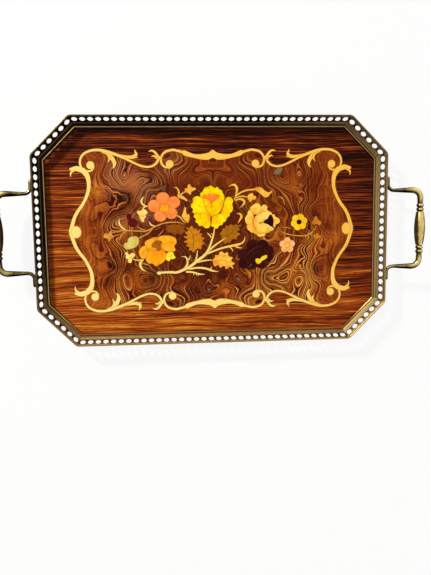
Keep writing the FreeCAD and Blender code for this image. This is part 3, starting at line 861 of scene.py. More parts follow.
# %% Leaves
LEAF_LEFT = [
    ("#cc860e", NO_SCORCH, [
        (-31.4, 4.9), (-28.3, 3.8), (-24.9, 6.4), (-22.1, 3.2), (-19, 3.2), (-18.3, 0.4), (-14.9, 2.4),
        (-15.7, -2), (-12.4, -2.8), (-14, -5.9), (-9.9, -8), (-12.5, -11.1), (-10.2, -13.9),
        (-13.1, -16.5), (-14.5, -20.9), (-18.4, -20.3), (-23.9, -24.6), (-26.2, -22), (-28.5, -22.4),
        (-28.2, -18.6), (-32, -16.7), (-30.2, -14.1), (-34.5, -12), (-30.6, -9.5), (-34.4, -6.1),
        (-30.3, -4.9), (-32.8, -1), (-29.4, 0.8)]),
]
LEAF_LEFT_VEINS = [
    ("#8a5c08", [(-27.3, 3.6, 0.3), (-23.1, -7.5, 1), (-24.1, -23, 0.4)]),
    ("#936409", [(-23.8, -5, 0.6), (-19.3, -3.7, 0.5), (-14.7, -4.5, 0.2)]),
    ("#936409", [(-23.1, -11.4, 0.6), (-18.1, -11.5, 0.5), (-12.9, -12.9, 0.2)]),
    ("#936409", [(-23.9, -8.8, 0.6), (-27.7, -7.5, 0.5), (-31.6, -6.8, 0.2)]),
    ("#936409", [(-23.5, -15.3, 0.6), (-26.6, -15.2, 0.5), (-29.8, -14.5, 0.2)]),
    ("#e0ac2c", [(-21.8, -1.1, 0.5), (-18.8, -0.2, 0.5), (-16.6, 0.3, 0.2)]),
    ("#e0ac2c", [(-22.1, -17.9, 0.5), (-18.8, -16.6, 0.5), (-15.6, -17, 0.2)]),
]
LEAF_RIGHT = [
    ("#aa6e0a", NO_SCORCH, [
        (7.8, -3.1), (10.2, -0.6), (10.8, 2.3), (13.6, 3.5), (15.2, 6.3), (18.1, 5.8), (20.7, 7.5),
        (23.6, 6.5), (27, 7.4), (30.1, 6.1), (33.2, 6.6), (30.1, 3.3), (31.6, 1.2), (28.5, -0.8),
        (31.8, -4.5), (28.4, -6.8), (27.1, -10.4), (23.7, -9.6), (21.6, -11.1), (19.2, -14.2),
        (16.6, -13.6), (14.2, -15.4), (11.1, -12.2), (9.3, -9.3), (9.9, -6.5)]),
]
LEAF_RIGHT_VEINS = [
    ("#6b4c08", [(11.1, -10.7, 0.3), (19, -4.1, 1), (31.7, 5.6, 0.3)]),
    ("#74540a", [(16.4, -6.2, 0.6), (16.2, -1.7, 0.5), (16.8, 2.8, 0.2)]),
    ("#74540a", [(21.7, -2, 0.6), (22.4, 2.1, 0.5), (23.7, 5.3, 0.2)]),
    ("#74540a", [(20.3, -3.3, 0.6), (24.3, -4.4, 0.5), (28.8, -4.2, 0.2)]),
    ("#74540a", [(15.8, -6.6, 0.6), (19, -9.2, 0.5), (21.6, -9.8, 0.2)]),
]
LEAF_LOW = [
    ("#fcc448", (1.7, -37.1, 9), [
        (-0.4, -32.8), (1.5, -30.5), (1.8, -28.2), (5.7, -27.7), (6.8, -25.1), (9.7, -23.9),
        (12.9, -26), (17.2, -25.3), (17.5, -28.4), (18.8, -30), (22.7, -31.4), (21.1, -34.8),
        (25, -39), (22.3, -40.5), (23.3, -44.5), (19.4, -42.3), (14.4, -44.8), (12.6, -41.4),
        (7.4, -42.9), (5.6, -40), (1.4, -41.4), (-0.9, -37.1)]),
]
LEAF_LOW_VEINS = [
    ("#d08a1c", [(0.4, -37.1, 0.5), (9.6, -34, 0.9), (21.3, -37.5, 0.3)]),
    ("#d6942a", [(8.2, -34.3, 0.5), (11.6, -30.2, 0.6), (15.5, -27.9, 0.2)]),
    ("#d6942a", [(12.8, -35.1, 0.5), (16.1, -38.7, 0.6), (19.3, -41.4, 0.2)]),
    ("#d6942a", [(5, -35.9, 0.5), (8.2, -39.2, 0.5), (11.4, -40.9, 0.2)]),
]
lay_flower("leaf_left", "leaf_wood", LEAF_LEVEL, LEAF_LEFT, LEAF_LEFT_VEINS)
lay_flower("leaf_right", "leaf_wood", LEAF_LEVEL, LEAF_RIGHT, LEAF_RIGHT_VEINS)
lay_flower("leaf_low", "cream_wood", LOW_LEAF_LEVEL, LEAF_LOW, LEAF_LOW_VEINS)

# %% [markdown]
# The yellow rose stands in the middle: five outer petals with wavy edges, a cup in front of them and
# an orange heart. The heart is a node of its own, and lies over the cup.

# %% Yellow rose
ROSE_PETALS = [
    ("#fde200", (-1.2, 39.5, 9), [
        (-14, 39.6), (-14.7, 43.2), (-12.1, 45.4), (-10.6, 48), (-8.5, 50.5), (-5.1, 50.9),
        (-2.8, 52.2), (0.8, 50.9), (2.8, 49.6), (5.4, 50.6), (8, 48), (10.8, 46.5), (11.8, 43.7),
        (13.3, 40.6), (13.5, 35.5), (2.6, 33.1), (-10.3, 33.2)]),
    ("#ffe60a", (-4, 20.4, 11), [
        (-14.5, 39.6), (-17.6, 40.4), (-21, 39.4), (-23.3, 36.9), (-23.1, 33.9), (-25.2, 31.1),
        (-25, 27.3), (-23, 25.2), (-23.8, 22.2), (-21, 19.9), (-16.9, 20.6), (-11.8, 19.2),
        (-2.8, 16.6), (-6.5, 24.3), (-10.3, 33.2), (-11.5, 37.7)]),
    ("#ffe000", (10.2, 22.8, 9), [
        (13.6, 34.3), (15.6, 37.8), (18.8, 39.3), (22.1, 38), (23.8, 34.4), (22.8, 30.8), (23.6, 26.7),
        (22.4, 22.1), (20.1, 20.4), (19.3, 17.1), (16.6, 15), (15.3, 11.7), (12.2, 10), (8.9, 16.4),
        (10.9, 25.4), (12.9, 30.4)]),
    ("#fcd900", (-2.8, 17.8, 9), [
        (-21, 19.9), (-22.4, 16.6), (-20.1, 14.2), (-20.9, 11.2), (-17.9, 8.8), (-16.4, 6),
        (-12.3, 5.9), (-9.4, 3.6), (-4.8, 3.8), (-2.9, 7.1), (-2.3, 11.4), (-2.5, 16.6), (-10.5, 20.5),
        (-15.6, 21.1)]),
    ("#ffe306", (-0.2, 17.2, 9), [
        (-1.2, 15.8), (-1.8, 10.1), (-2.2, 5.5), (0.7, 4.5), (2.7, 2.6), (5.6, 3.4), (7.4, 5.9),
        (10.6, 6.9), (12.2, 9.7), (15.3, 11.7), (14, 15.1), (7.6, 20.3), (2.4, 18)]),
    ("#fbd000", (-1.8, 16.6, 9), [
        (-11.5, 38.3), (-10.8, 32), (-7.3, 24.8), (-4, 18.9), (-1.5, 16.3), (2.4, 18), (7.1, 20.3),
        (11, 25.4), (13.2, 33), (13, 39.4), (7.9, 40.7), (-2.4, 43.3), (-10.1, 42.1)]),
]
ROSE_LINES = [
    ("#8f5a00", [
        (13.1, 36.8, 0.4), (12.9, 31.7, 0.9), (10.8, 25.4, 1.1), (7.1, 20.5, 0.9), (2.4, 18, 0.4)]),
    ("#6b2a05", [(-1.8, 16.6, 2), (-2.3, 11.9, 1.4), (-2.4, 7.1, 0.4)]),
    ("#c58400", [(-1.5, 31.6, 0.9), (-1.8, 28.1, 0.6), (-1.8, 23.6, 0.2)]),
    ("#b98400", [(-11, 34.5, 0.3), (-9.6, 29.4, 0.7), (-6.3, 23, 0.7), (-2.5, 17.1, 0.3)]),
    ("#d6a800", [(-19.3, 31.4, 0.2), (-15.5, 29.2, 0.6), (-11.6, 28.2, 0.2)]),
    ("#d6a800", [(-18.3, 14.2, 0.2), (-13.1, 14.8, 0.6), (-6.7, 16, 0.2)]),
]
ROSE_HEART = [
    ("#ff8a34", (-1.5, 31.4, 4), [
        (-11.5, 38.6), (-9.9, 42.1), (-6.6, 40.8), (-3.7, 42.8), (-1.4, 41.5), (0.4, 42.3),
        (3.5, 42.5), (6.6, 40.7), (7.1, 38.4), (3.7, 35.9), (0.8, 33.6), (-1.5, 31.4), (-4.1, 35),
        (-7.6, 37.3)]),
]
lay_flower("yellow_rose", "yellow_wood", FLOWER_LEVEL, ROSE_PETALS, ROSE_LINES)
lay_flower("rose_heart", "orange_wood", EYE_LEVEL, ROSE_HEART)

# %% [markdown]
# The orange blossom has five round petals. Ovals are enough for them, and a round one below closes
# the gaps at the middle, where the eye covers it.

# %% Orange blossom
BLOSSOM_SCORCH = (-55.7, 27.1, 8)
BLOSSOM_OVALS = [
    (-57.5, 38.2, 15.2, 14.2), (-67.9, 29.8, 13.7, 14.2), (-60.8, 18.3, 14.7, 13.7),
    (-48.2, 21.2, 14.5, 13.7), (-45.1, 33.6, 15.0, 13.7),
]
BLOSSOM_PETALS = [("#f88a40", NO_SCORCH, oval(-56.5, 27, 18, 18))]
BLOSSOM_PETALS += [("#ff9248", BLOSSOM_SCORCH, oval(*shape)) for shape in BLOSSOM_OVALS]
BLOSSOM_EYE = [
    ("#ffae10", NO_SCORCH, [
        (-60.3, 28.7), (-58.3, 31.9), (-55.1, 30.9), (-52.6, 32.2), (-50.6, 28.9), (-51.2, 25.8),
        (-50.2, 23.5), (-53.8, 23.1), (-55.9, 21.6), (-58.4, 23.6), (-61.2, 24.2)]),
]
lay_flower("orange_blossom", "orange_wood", FLOWER_LEVEL, BLOSSOM_PETALS)
lay_flower("blossom_eye", "orange_wood", EYE_LEVEL, BLOSSOM_EYE)

# %% [markdown]
# The cream rose is seen from the side. Its petals wrap round each other, and one dark wedge lies
# between the two that open. Pale lines mark the lips of these two petals.

# %% Cream rose
CREAM_PETALS = [
    ("#ffd75c", (48, 19.8, 6), [
        (43.5, 24.2), (43.8, 26.8), (45.9, 28.8), (48.3, 30.6), (50.9, 31.8), (54.3, 31), (56.4, 27.4),
        (55.8, 21), (47.9, 18.5)]),
    ("#ffdb64", (58.4, 20.9, 6), [
        (56.4, 27.1), (59.3, 29.7), (62.7, 28.9), (64.2, 26.5), (63.7, 23.7), (66.3, 21.9),
        (62.4, 18.3), (55.8, 19.7)]),
    ("#ffd256", (47.9, 13.3, 8), [
        (43.5, 24.2), (40.9, 21.7), (39.8, 18.1), (37.5, 15), (37.7, 11.2), (39.2, 7.5), (42.1, 6.5),
        (47.9, 6.9), (47.9, 14.6), (47.3, 19.8)]),
    ("#ffc84a", (49.2, 4.3, 8), [
        (39.5, 6), (39.7, 2.4), (42.1, -0.3), (45.2, -2.6), (48.1, -3.2), (50.7, -5.1), (53.7, -2.3),
        (50.5, 3), (47.9, 8.2), (42.6, 7.2)]),
    ("#ffd052", (54.4, -1, 5), [
        (51, -4.8), (52.5, -6.9), (54.9, -7.7), (57.8, -7), (60.4, -7), (61.8, -3.9), (58.4, -1),
        (53.1, -0.9)]),
    ("#ffcf54", (70.8, 10.5, 4), [
        (67.9, 19.8), (70.2, 18.5), (72.3, 18.5), (73.7, 15.6), (76.3, 14.5), (78.4, 12.2),
        (78.7, 9.1), (75.8, 7), (73.9, 6), (72.8, 2.9), (70.5, 5.3), (71, 9.2), (70.8, 13),
        (69.2, 16.9)]),
    ("#ffd65e", (49.2, 13.3, 6), [
        (59.7, 9.6), (65, 14.9), (68.9, 19.8), (66.3, 21.9), (62.4, 22.2), (57.1, 21), (50.6, 17.2),
        (47.4, 13.4), (47.2, 8.2), (51.8, 7.1)]),
    ("#ffd45a", (48.7, 4.3, 6), [
        (59.7, 9.3), (54.5, 8.9), (49.2, 10.5), (47.4, 7.9), (48.7, 3.3), (52.3, -1.2), (56, -2.3),
        (61.8, -3.7), (67.3, -1.4), (71.5, 1.4), (65.6, 5.1)]),
]
CREAM_LINES = [
    ("#b07818", [
        (49.5, 16.2, 0.3), (47.1, 12.6, 0.8), (47.1, 7.9, 0.8), (48.9, 3.3, 0.6), (52.3, 1.1, 0.2)]),
    ("#8a4c10", [(53.9, 8.1, 0.7), (56, 8.6, 1.2), (58.9, 8.9, 0.5)]),
    ("#fff0ae", [(59.7, 10, 0.4), (64.3, 14.7, 1.2), (68.9, 19.5, 0.6)]),
    ("#fff0b8", [(59.7, 8.9, 0.4), (65.6, 5.1, 1.3), (71.3, 1.4, 0.6)]),
    ("#c08420", [(50.7, -2.2, 0.3), (53.9, -3.8, 0.8), (59.7, -3.4, 0.3)]),
    ("#c88c26", [(43.8, 23.9, 0.3), (46.6, 19.8, 0.7), (47.9, 15.9, 0.3)]),
]
CREAM_FOLD = [
    ("#26080a", NO_SCORCH, [
        (59.4, 9.6), (63.7, 13.4), (67.9, 18), (69.7, 14.4), (70.6, 9.4), (70, 4.8), (65, 6.7)]),
]
lay_flower("cream_rose", "cream_wood", CREAM_LEVEL, CREAM_PETALS, CREAM_LINES)
lay_flower("cream_rose_fold", "dark_wood", FOLD_LEVEL, CREAM_FOLD)

# %% [markdown]
# The peony is of a wood that is dyed nearly black, so only the rims and a few lighter lines part its
# petals. Its stamens are one yellow piece.

# %% Dark peony
PEONY_OVALS = [
    ("#380b0c", 45.1, -16.7, 12.1, 10.6), ("#2e0708", 58.3, -16.2, 13.1, 10.1),
    ("#34090a", 65.9, -23.5, 10.1, 11.6), ("#3e0e10", 33.5, -27.7, 10.1, 10.8),
    ("#34090a", 65.1, -32.2, 10.6, 9.6), ("#2e0708", 34.4, -38.7, 10.1, 11.6),
    ("#380b0c", 43.4, -41.7, 11.8, 8), ("#3e0e10", 54.8, -39.7, 12.1, 9.1),
    ("#330a0b", 49.7, -28.2, 26.4, 21.4),
]
PEONY_PETALS = [(tint, NO_SCORCH, oval(*shape)) for tint, *shape in PEONY_OVALS]
PEONY_LINES = [
    ("#5a2420", [(36.9, -31.1, 0.3), (43.2, -24.7, 0.9), (51.4, -19.4, 0.8), (58, -17.4, 0.3)]),
    ("#7a4c44", [(41.5, -43.5, 0.4), (45, -39.4, 1)]),
    ("#4d1a1c", [(43.7, -34.7, 0.3), (47, -27.9, 0.7), (56.9, -23.1, 0.3)]),
    ("#4d1a1c", [(59.6, -21.9, 0.3), (63.5, -25.9, 0.7), (64.6, -31.1, 0.3)]),
    ("#4d1a1c", [(38.4, -31.9, 0.3), (39.7, -37.2, 0.7), (45, -38, 0.3)]),
]
PEONY_STAMENS = [
    ("#f3d61c", NO_SCORCH, [
        (49.5, -34.2), (51.9, -32.7), (54.3, -33.5), (56.6, -31.2), (59.6, -29.7), (63, -29),
        (63.7, -31.4), (60.9, -34.2), (57.4, -36.2), (55.3, -38.6), (52.6, -39.6), (50.3, -37.9)]),
]
lay_flower("dark_peony", "dark_wood", FLOWER_LEVEL, PEONY_PETALS, PEONY_LINES)
lay_flower("peony_stamens", "yellow_wood", EYE_LEVEL, PEONY_STAMENS)

# %% [markdown]
# The dog rose has amber petals of different sizes, a small lemon one at its front, and a brown eye.
# The oval in its first row fills the middle.

# %% Amber dog rose
DOG_ROSE_PETALS = [
    ("#e89a14", NO_SCORCH, oval(-66, -16, 24, 20)),
    ("#ffb420", (-62.6, -15.9, 9), [
        (-64.4, -7.5), (-62.1, -5.1), (-56, -4.3), (-48.3, -5.2), (-43.5, -8.3), (-42.8, -13.2),
        (-45.4, -17), (-44, -21.1), (-46.1, -23.3), (-51, -23.3), (-55.7, -22.5), (-59.5, -18.5),
        (-63.2, -13.3)]),
    ("#ffba30", (-69.1, -15.8, 6), [
        (-78.5, -15.9), (-79.4, -12.1), (-75.3, -8.8), (-70.1, -7.7), (-66.6, -10.1), (-68.7, -13.9),
        (-71, -17.7), (-75.5, -18.5)]),
    ("#ffb628", (-74.3, -19.6, 6), [
        (-78.3, -15.9), (-83.4, -17.4), (-86.6, -21.9), (-85.3, -28.4), (-80.7, -31.3), (-77.3, -27.8),
        (-76.1, -22.1), (-76.8, -18.3)]),
    ("#ffae14", (-65.3, -21, 10), [
        (-77.2, -24.7), (-78.4, -29), (-78.7, -32.9), (-75.2, -36.6), (-71.1, -36.9), (-67.6, -39.8),
        (-62.9, -37.9), (-57.7, -34.6), (-55, -30.2), (-55.4, -24.5), (-58.9, -20.9), (-64.7, -21.8),
        (-71.7, -21.2), (-75.6, -22.1)]),
    ("#f8ee3c", NO_SCORCH, [
        (-55.9, -27.9), (-54.1, -24.6), (-50, -23.2), (-46.6, -24.7), (-45.9, -27.3), (-44.4, -30.2),
        (-47.1, -32.2), (-49.9, -32.1), (-51.8, -34.2), (-54.8, -33.1), (-56.3, -30.5)]),
]
DOG_ROSE_LINES = [
    ("#d98a0c", [(-60.1, -16, 0.3), (-53.6, -13, 0.7), (-45.2, -10.8, 0.2)]),
    ("#d98a0c", [(-65.4, -23.6, 0.3), (-66.6, -30, 0.7), (-68.3, -36.5, 0.2)]),
    ("#d98a0c", [(-61.5, -23.7, 0.3), (-59.7, -28.9, 0.6), (-59.2, -32.8, 0.2)]),
    ("#d98a0c", [(-76.8, -19.5, 0.3), (-80.5, -22, 0.6), (-83.4, -25.2, 0.2)]),
    ("#c0c020", [(-54, -29, 0.3), (-50.1, -28.4, 0.6), (-46.9, -29.7, 0.2)]),
]
DOG_ROSE_EYE = [
    ("#a8640e", NO_SCORCH, [
        (-71.9, -16), (-69.5, -12.2), (-66.1, -10.2), (-62.5, -10.1), (-59.5, -11.6), (-61.4, -15.7),
        (-60.7, -19.6), (-64.6, -22.1), (-67.3, -18.7), (-70.1, -17.9)]),
]
lay_flower("amber_dog_rose", "amber_wood", FLOWER_LEVEL, DOG_ROSE_PETALS, DOG_ROSE_LINES)
lay_flower("dog_rose_eye", "leaf_wood", EYE_LEVEL, DOG_ROSE_EYE)

# %% [markdown]
# Two daisies at the right are regular, so a loop sets their petals in a ring instead of a drawing.

# %% Daisies
def ring_of_petals(tint, x, y, count, reach, size, scorch):
    """Round petals set in a ring about an eye."""
    petals = []
    for k in range(count):
        angle = 2 * math.pi * (k + 0.25) / count
        outline = oval(x + reach * math.cos(angle), y + reach * math.sin(angle), size, size)
        petals.append((tint, (x, y, scorch), outline))
    return petals


YELLOW_DAISY_AT = (101.5, 9)
YELLOW_DAISY = ring_of_petals("#ffd01c", *YELLOW_DAISY_AT, 6, 5.7, 8.8, 4)
YELLOW_DAISY_EYE = [("#200606", NO_SCORCH, oval(*YELLOW_DAISY_AT, 5.8, 5.8))]
PINK_DAISY_AT = (87.4, -18)
PINK_DAISY = ring_of_petals("#ffbe80", *PINK_DAISY_AT, 5, 5.4, 8.4, 3)
PINK_DAISY += [("#ffbe1e", NO_SCORCH, oval(*PINK_DAISY_AT, 6.4, 7.6, 20))]
lay_flower("yellow_daisy", "yellow_wood", FLOWER_LEVEL, YELLOW_DAISY)
lay_flower("yellow_daisy_eye", "dark_wood", EYE_LEVEL, YELLOW_DAISY_EYE)
lay_flower("pink_daisy", "orange_wood", FLOWER_LEVEL, PINK_DAISY)

# %% [markdown]
# The stem is fine cutting: ribbons a few millimetres wide that taper to points. The twigs come first
# and the main stalk last, so that it runs over their ends. A chain of bevelled edges could give the
# same band, but the width of a curve at each point is easier to set.

# %% Stem
STEM = [
    [
        (-34.6, -43.6, 2.2), (-30.9, -38.7, 2.2), (-30.8, -33.5, 1.8), (-32.5, -29.9, 1.4),
        (-37.4, -29.3, 0.2)],
    [(-30.6, -34.6, 1.2), (-28.4, -31.4, 1.2), (-26.8, -27.9, 0.2)],
    [(-26.8, -40.5, 1.4), (-22.3, -35.8, 1.5), (-19.6, -29.6, 1.5), (-18.7, -22.3, 0.7)],
    [(-7, -24.9, 1.8), (-0.4, -18.5, 1.8), (9.8, -11.4, 1.5), (15.1, -8.1, 0.5)],
    [(18.9, -18.6, 1.2), (21.5, -21.2, 1.3), (23, -24.4, 0.2)],
    [(24.1, -17.4, 1.2), (28.7, -19.5, 1.6), (34.1, -20.4, 0.4)],
    [
        (-7.8, -26.4, 2), (-0.5, -23.7, 1.9), (9.7, -20.2, 1.9), (18.9, -18.1, 2.2),
        (28.1, -16.4, 2.6), (33.3, -14.7, 1.8), (36.5, -11.3, 1.4), (37.3, -6.9, 0.2)],
    [(-19.2, -36.4, 1.6), (-11.3, -34.4, 1.6), (-1.2, -33.8, 0.8)],
    [(-5, -45, 1.4), (-2.6, -42.9, 1), (-2, -41.4, 0.2)],
    [(-29.2, -43.7, 2), (-16.7, -42.7, 2), (-7.6, -44.1, 2.2), (-1.1, -46.6, 2), (5.5, -47.5, 0.4)],
    [(-23, -48.3, 1.4), (-23.8, -51.4, 0.2)],
    [(-20.9, -48.8, 1.3), (-19.7, -52, 0.2)],
    [(-18.9, -49.4, 1.4), (-17.9, -52.3, 0.2)],
    [(-32.3, -47, 2), (-24.6, -47.7, 1.8), (-16.8, -50, 1.8), (-10.5, -50.6, 0.4)],
    [(-2.1, -7.9, 1.2), (-4.9, -4, 1.2), (-7.2, -1.9, 0.2)],
    [(0.6, -4, 1), (-3.1, -3.2, 0.4)],
    [
        (-64.4, -47.7, 2.6), (-58.2, -47.3, 2.4), (-50.5, -47.2, 2.6), (-42.7, -47.4, 2.7),
        (-35.9, -44.9, 2.8), (-26.8, -40.5, 3), (-18.9, -34.3, 3.1), (-11.2, -28.7, 3.1),
        (-6.7, -23.3, 2.6), (-3.8, -16.9, 2.2), (-1.3, -9.8, 2), (0.8, -2.1, 1.5), (1.7, 3.4, 1)],
]
STEM_KNOB = (-63.7, -48, 5.6, 4.2)
stem = Scroll("stem")
for line in STEM:
    stem.ribbon(line, BOXWOOD_TINT)
stem.lay(oval(*STEM_KNOB), BOXWOOD_TINT, rim=SCROLL_RIM)
stem.set_in()

# %% [markdown]
# Sprigs with buds and small leaves fill the space between the flowers. They are too fine for a solid
# of their own in the CAD model, so they stand for no node and lie on the veneer.

# %% Sprigs
CREAM = "#f8e27c"
GOLD = "#f4bc42"
PALE = "#d8ce6a"
AMBER = "#cc8220"
TAN = "#d89a40"
OLIVE = "#904e06"
MAROON = "#5a1008"
LEFT_STALKS = [
    (CREAM, [
        (-78.5, 40.5, 0.2), (-81.1, 37.8, 1.6), (-82, 34, 2.6), (-79.8, 31, 2), (-76.5, 29.4, 1.5),
        (-74, 29.9, 0.5)]),
    (CREAM, [(-81.2, 25.4, 0.9), (-79.1, 28.2, 1.2), (-76.3, 29.4, 1.2)]),
    (GOLD, [
        (-45, 50.5, 0.2), (-41.2, 49.7, 1.4), (-39, 45.4, 2.2), (-39.4, 39.9, 1.7), (-37.9, 38.3, 0.8)]),
    (GOLD, [(-39.1, 39.9, 1), (-35.7, 43.1, 1.5), (-31.4, 45.6, 1.2)]),
    (GOLD, [(-41.9, 18.3, 1.2), (-37.8, 16.2, 1.6), (-34.8, 12.1, 1.4), (-32.3, 9.5, 0.7)]),
    (TAN, [(-107.9, -11.6, 0.2), (-107.5, -6.2, 1.1), (-104, -1.2, 1.2), (-99.1, 1.5, 0.8)]),
    (TAN, [(-87.6, 7, 0.5), (-83.6, 3.6, 1.1), (-78.8, 2.8, 0.9)]),
    (TAN, [(-85.7, -6.8, 1.8), (-80, -4.1, 1.4), (-73.5, -0.1, 1.2), (-69, 4.7, 0.8)]),
    (TAN, [(-57.1, 3.2, 0.2), (-59.7, -0.6, 0.8), (-64.2, -5, 0.6)]),
    (TAN, [
        (-120.8, -1.7, 0.6), (-114.4, 0.2, 1), (-105.5, 1.9, 1.4), (-96.6, 1.8, 1.5),
        (-85.2, 1.1, 1.4), (-76.3, 1.5, 1.4), (-68.5, 5.4, 1.5), (-58.2, 9.4, 1.5), (-47.9, 10.8, 1.4),
        (-39, 10.1, 1), (-33.2, 8, 0.4)]),
    (CREAM, [(-107.1, 15.4, 0.2), (-108, 11.1, 1.7), (-105.3, 5.9, 1.7), (-100.4, 2.3, 0.9)]),
    (CREAM, [(-73.7, 12.1, 0.2), (-72, 8.5, 1.8), (-69, 7, 1.4), (-66.4, 6.4, 0.6)]),
    (CREAM, [(-94, -30.8, 0.8), (-88.7, -32.5, 1.2), (-83, -31.8, 1.4)]),
    (CREAM, [
        (-81.2, -31.6, 0.8), (-85.2, -36.1, 2.8), (-84.3, -41.3, 2.4), (-81.3, -44.2, 1.5),
        (-78, -45.6, 0.2)]),
]
LEFT_LEAVES = [
    (OLIVE, NO_SCORCH, [
        (-55.1, 3.2), (-53.1, 7), (-49.3, 7.7), (-45.4, 9.7), (-41.6, 7.9), (-37.5, 8.8), (-35.4, 7),
        (-32.4, 6.7), (-34, 2.9), (-31.5, -0.7), (-35.1, -1.5), (-36.7, -3.7), (-41, -2.6),
        (-45.4, -4.1), (-48.2, -1.5), (-52.3, -0.7)]),
    (CREAM, NO_SCORCH, [
        (-81.2, 25.9), (-84.3, 24.4), (-86.6, 24.5), (-87.2, 21.4), (-85.2, 19.1), (-84.5, 16.1),
        (-80.3, 11.2), (-79, 15.2), (-76.9, 17), (-77.6, 19.5), (-75.2, 21.5), (-76.4, 24.3),
        (-78.9, 26.1)]),
    (GOLD, (-31.4, 45.1, 5), [
        (-32.1, 48.7), (-29.2, 50.1), (-28.4, 53.2), (-26.3, 53.9), (-24.4, 50.9), (-19.3, 49),
        (-22.1, 46.3), (-24.2, 45.3), (-25.8, 41.8), (-28.3, 43.8), (-31.4, 45.1)]),
    (GOLD, NO_SCORCH, [
        (-38.9, 39.9), (-35.3, 41.1), (-32, 38.8), (-29.3, 35), (-33.8, 36.5), (-36.9, 37.6)]),
    (GOLD, (-30, 9.5, 6), [
        (-31.9, 28.1), (-33.8, 24.9), (-34.9, 21.3), (-36.2, 18), (-34.8, 15.2), (-31.2, 10.8),
        (-29.5, 9.5), (-27.6, 12.8), (-27, 16.9), (-28, 19.9), (-29.8, 19.5), (-30.8, 22.8)]),
    (MAROON, NO_SCORCH, oval(-92.5, 10.7, 10.8, 10.1)),
    (MAROON, NO_SCORCH, oval(-96.6, 17.8, 5.8, 7)),
    (PALE, (-88.2, -16.8, 5), [
        (-103.5, -17.3), (-103.7, -14.5), (-102.4, -12.2), (-99.5, -11.5), (-98.9, -8.4),
        (-96.6, -5.9), (-93, -4.9), (-89.2, -4.7), (-86.2, -7.6), (-86.3, -11.7), (-88.5, -16.5),
        (-93.1, -18.5), (-98.3, -19.9), (-101.6, -19.1)]),
    (CREAM, NO_SCORCH, [
        (-102.5, -23.7), (-100.1, -23), (-97.7, -25.6), (-95.3, -24.1), (-92.8, -23.9), (-91.1, -27.5),
        (-94, -30.3), (-95.4, -34.9), (-97.7, -35.6), (-99.5, -34.1), (-99.6, -31.2), (-102.1, -29.4),
        (-101.5, -26.6)]),
    (TAN, NO_SCORCH, [
        (-125, -1), (-121, -1.5), (-117.5, 2), (-116.5, -2.5), (-114, -4.5), (-117.5, -7), (-120, -10.5),
        (-122, -7), (-126, -6)]),
]
RIGHT_STALKS = [
    (GOLD, [
        (18.3, 50.7, 0.2), (22.2, 52.5, 1.6), (25.6, 52.7, 2.8), (28.1, 48.9, 3), (27.8, 44.1, 2.3),
        (26.5, 39.2, 1.6)]),
    (GOLD, [(27.3, 37.9, 1), (33.5, 39.7, 1.5), (40.5, 38.6, 1.2)]),
    (GOLD, [
        (26.2, 35.1, 1.2), (30.4, 36.4, 2.2), (34.8, 35.8, 3), (36.8, 33, 2.8), (35.2, 29.7, 1.8),
        (31, 26.1, 0.2)]),
    (GOLD, [
        (27.6, 19.3, 0.3), (31.3, 19.5, 2.2), (33.3, 16.4, 2.8), (31.7, 12.8, 2), (28.8, 8.2, 0.3)]),
    (GOLD, [
        (25.4, 34.9, 1), (26.7, 39.2, 1.8), (30.1, 42.2, 1.8), (36.4, 45.5, 1.9), (44.2, 47, 2),
        (51, 47.4, 2)]),
    (TAN, [(76.3, 38.7, 0.6), (80.8, 37.4, 1.1), (83.4, 33.5, 1.1), (83.9, 29.4, 0.3)]),
    (TAN, [(112.1, -6.2, 0.9), (113.9, -1.3, 0.3)]),
    (TAN, [(113.4, -5.7, 0.9), (119.3, -7.1, 0.8)]),
    (TAN, [(110, -7, 0.8), (108.9, -10.6, 0.8)]),
    (TAN, [(79.4, 2.6, 0.3), (86.1, 3.1, 1), (92.7, 1.1, 0.3)]),
    (TAN, [(80.8, -1.6, 0.6), (83.4, -5.3, 0.8), (86.1, -9.2, 0.5)]),
    (TAN, [
        (78.7, -0.8, 0.6), (86.1, -4.3, 1.2), (94, -6.2, 1.3), (103.3, -7.2, 1.3), (111.3, -6.5, 1.3),
        (117.9, -2.4, 1.3), (122.2, 4, 0.7)]),
]
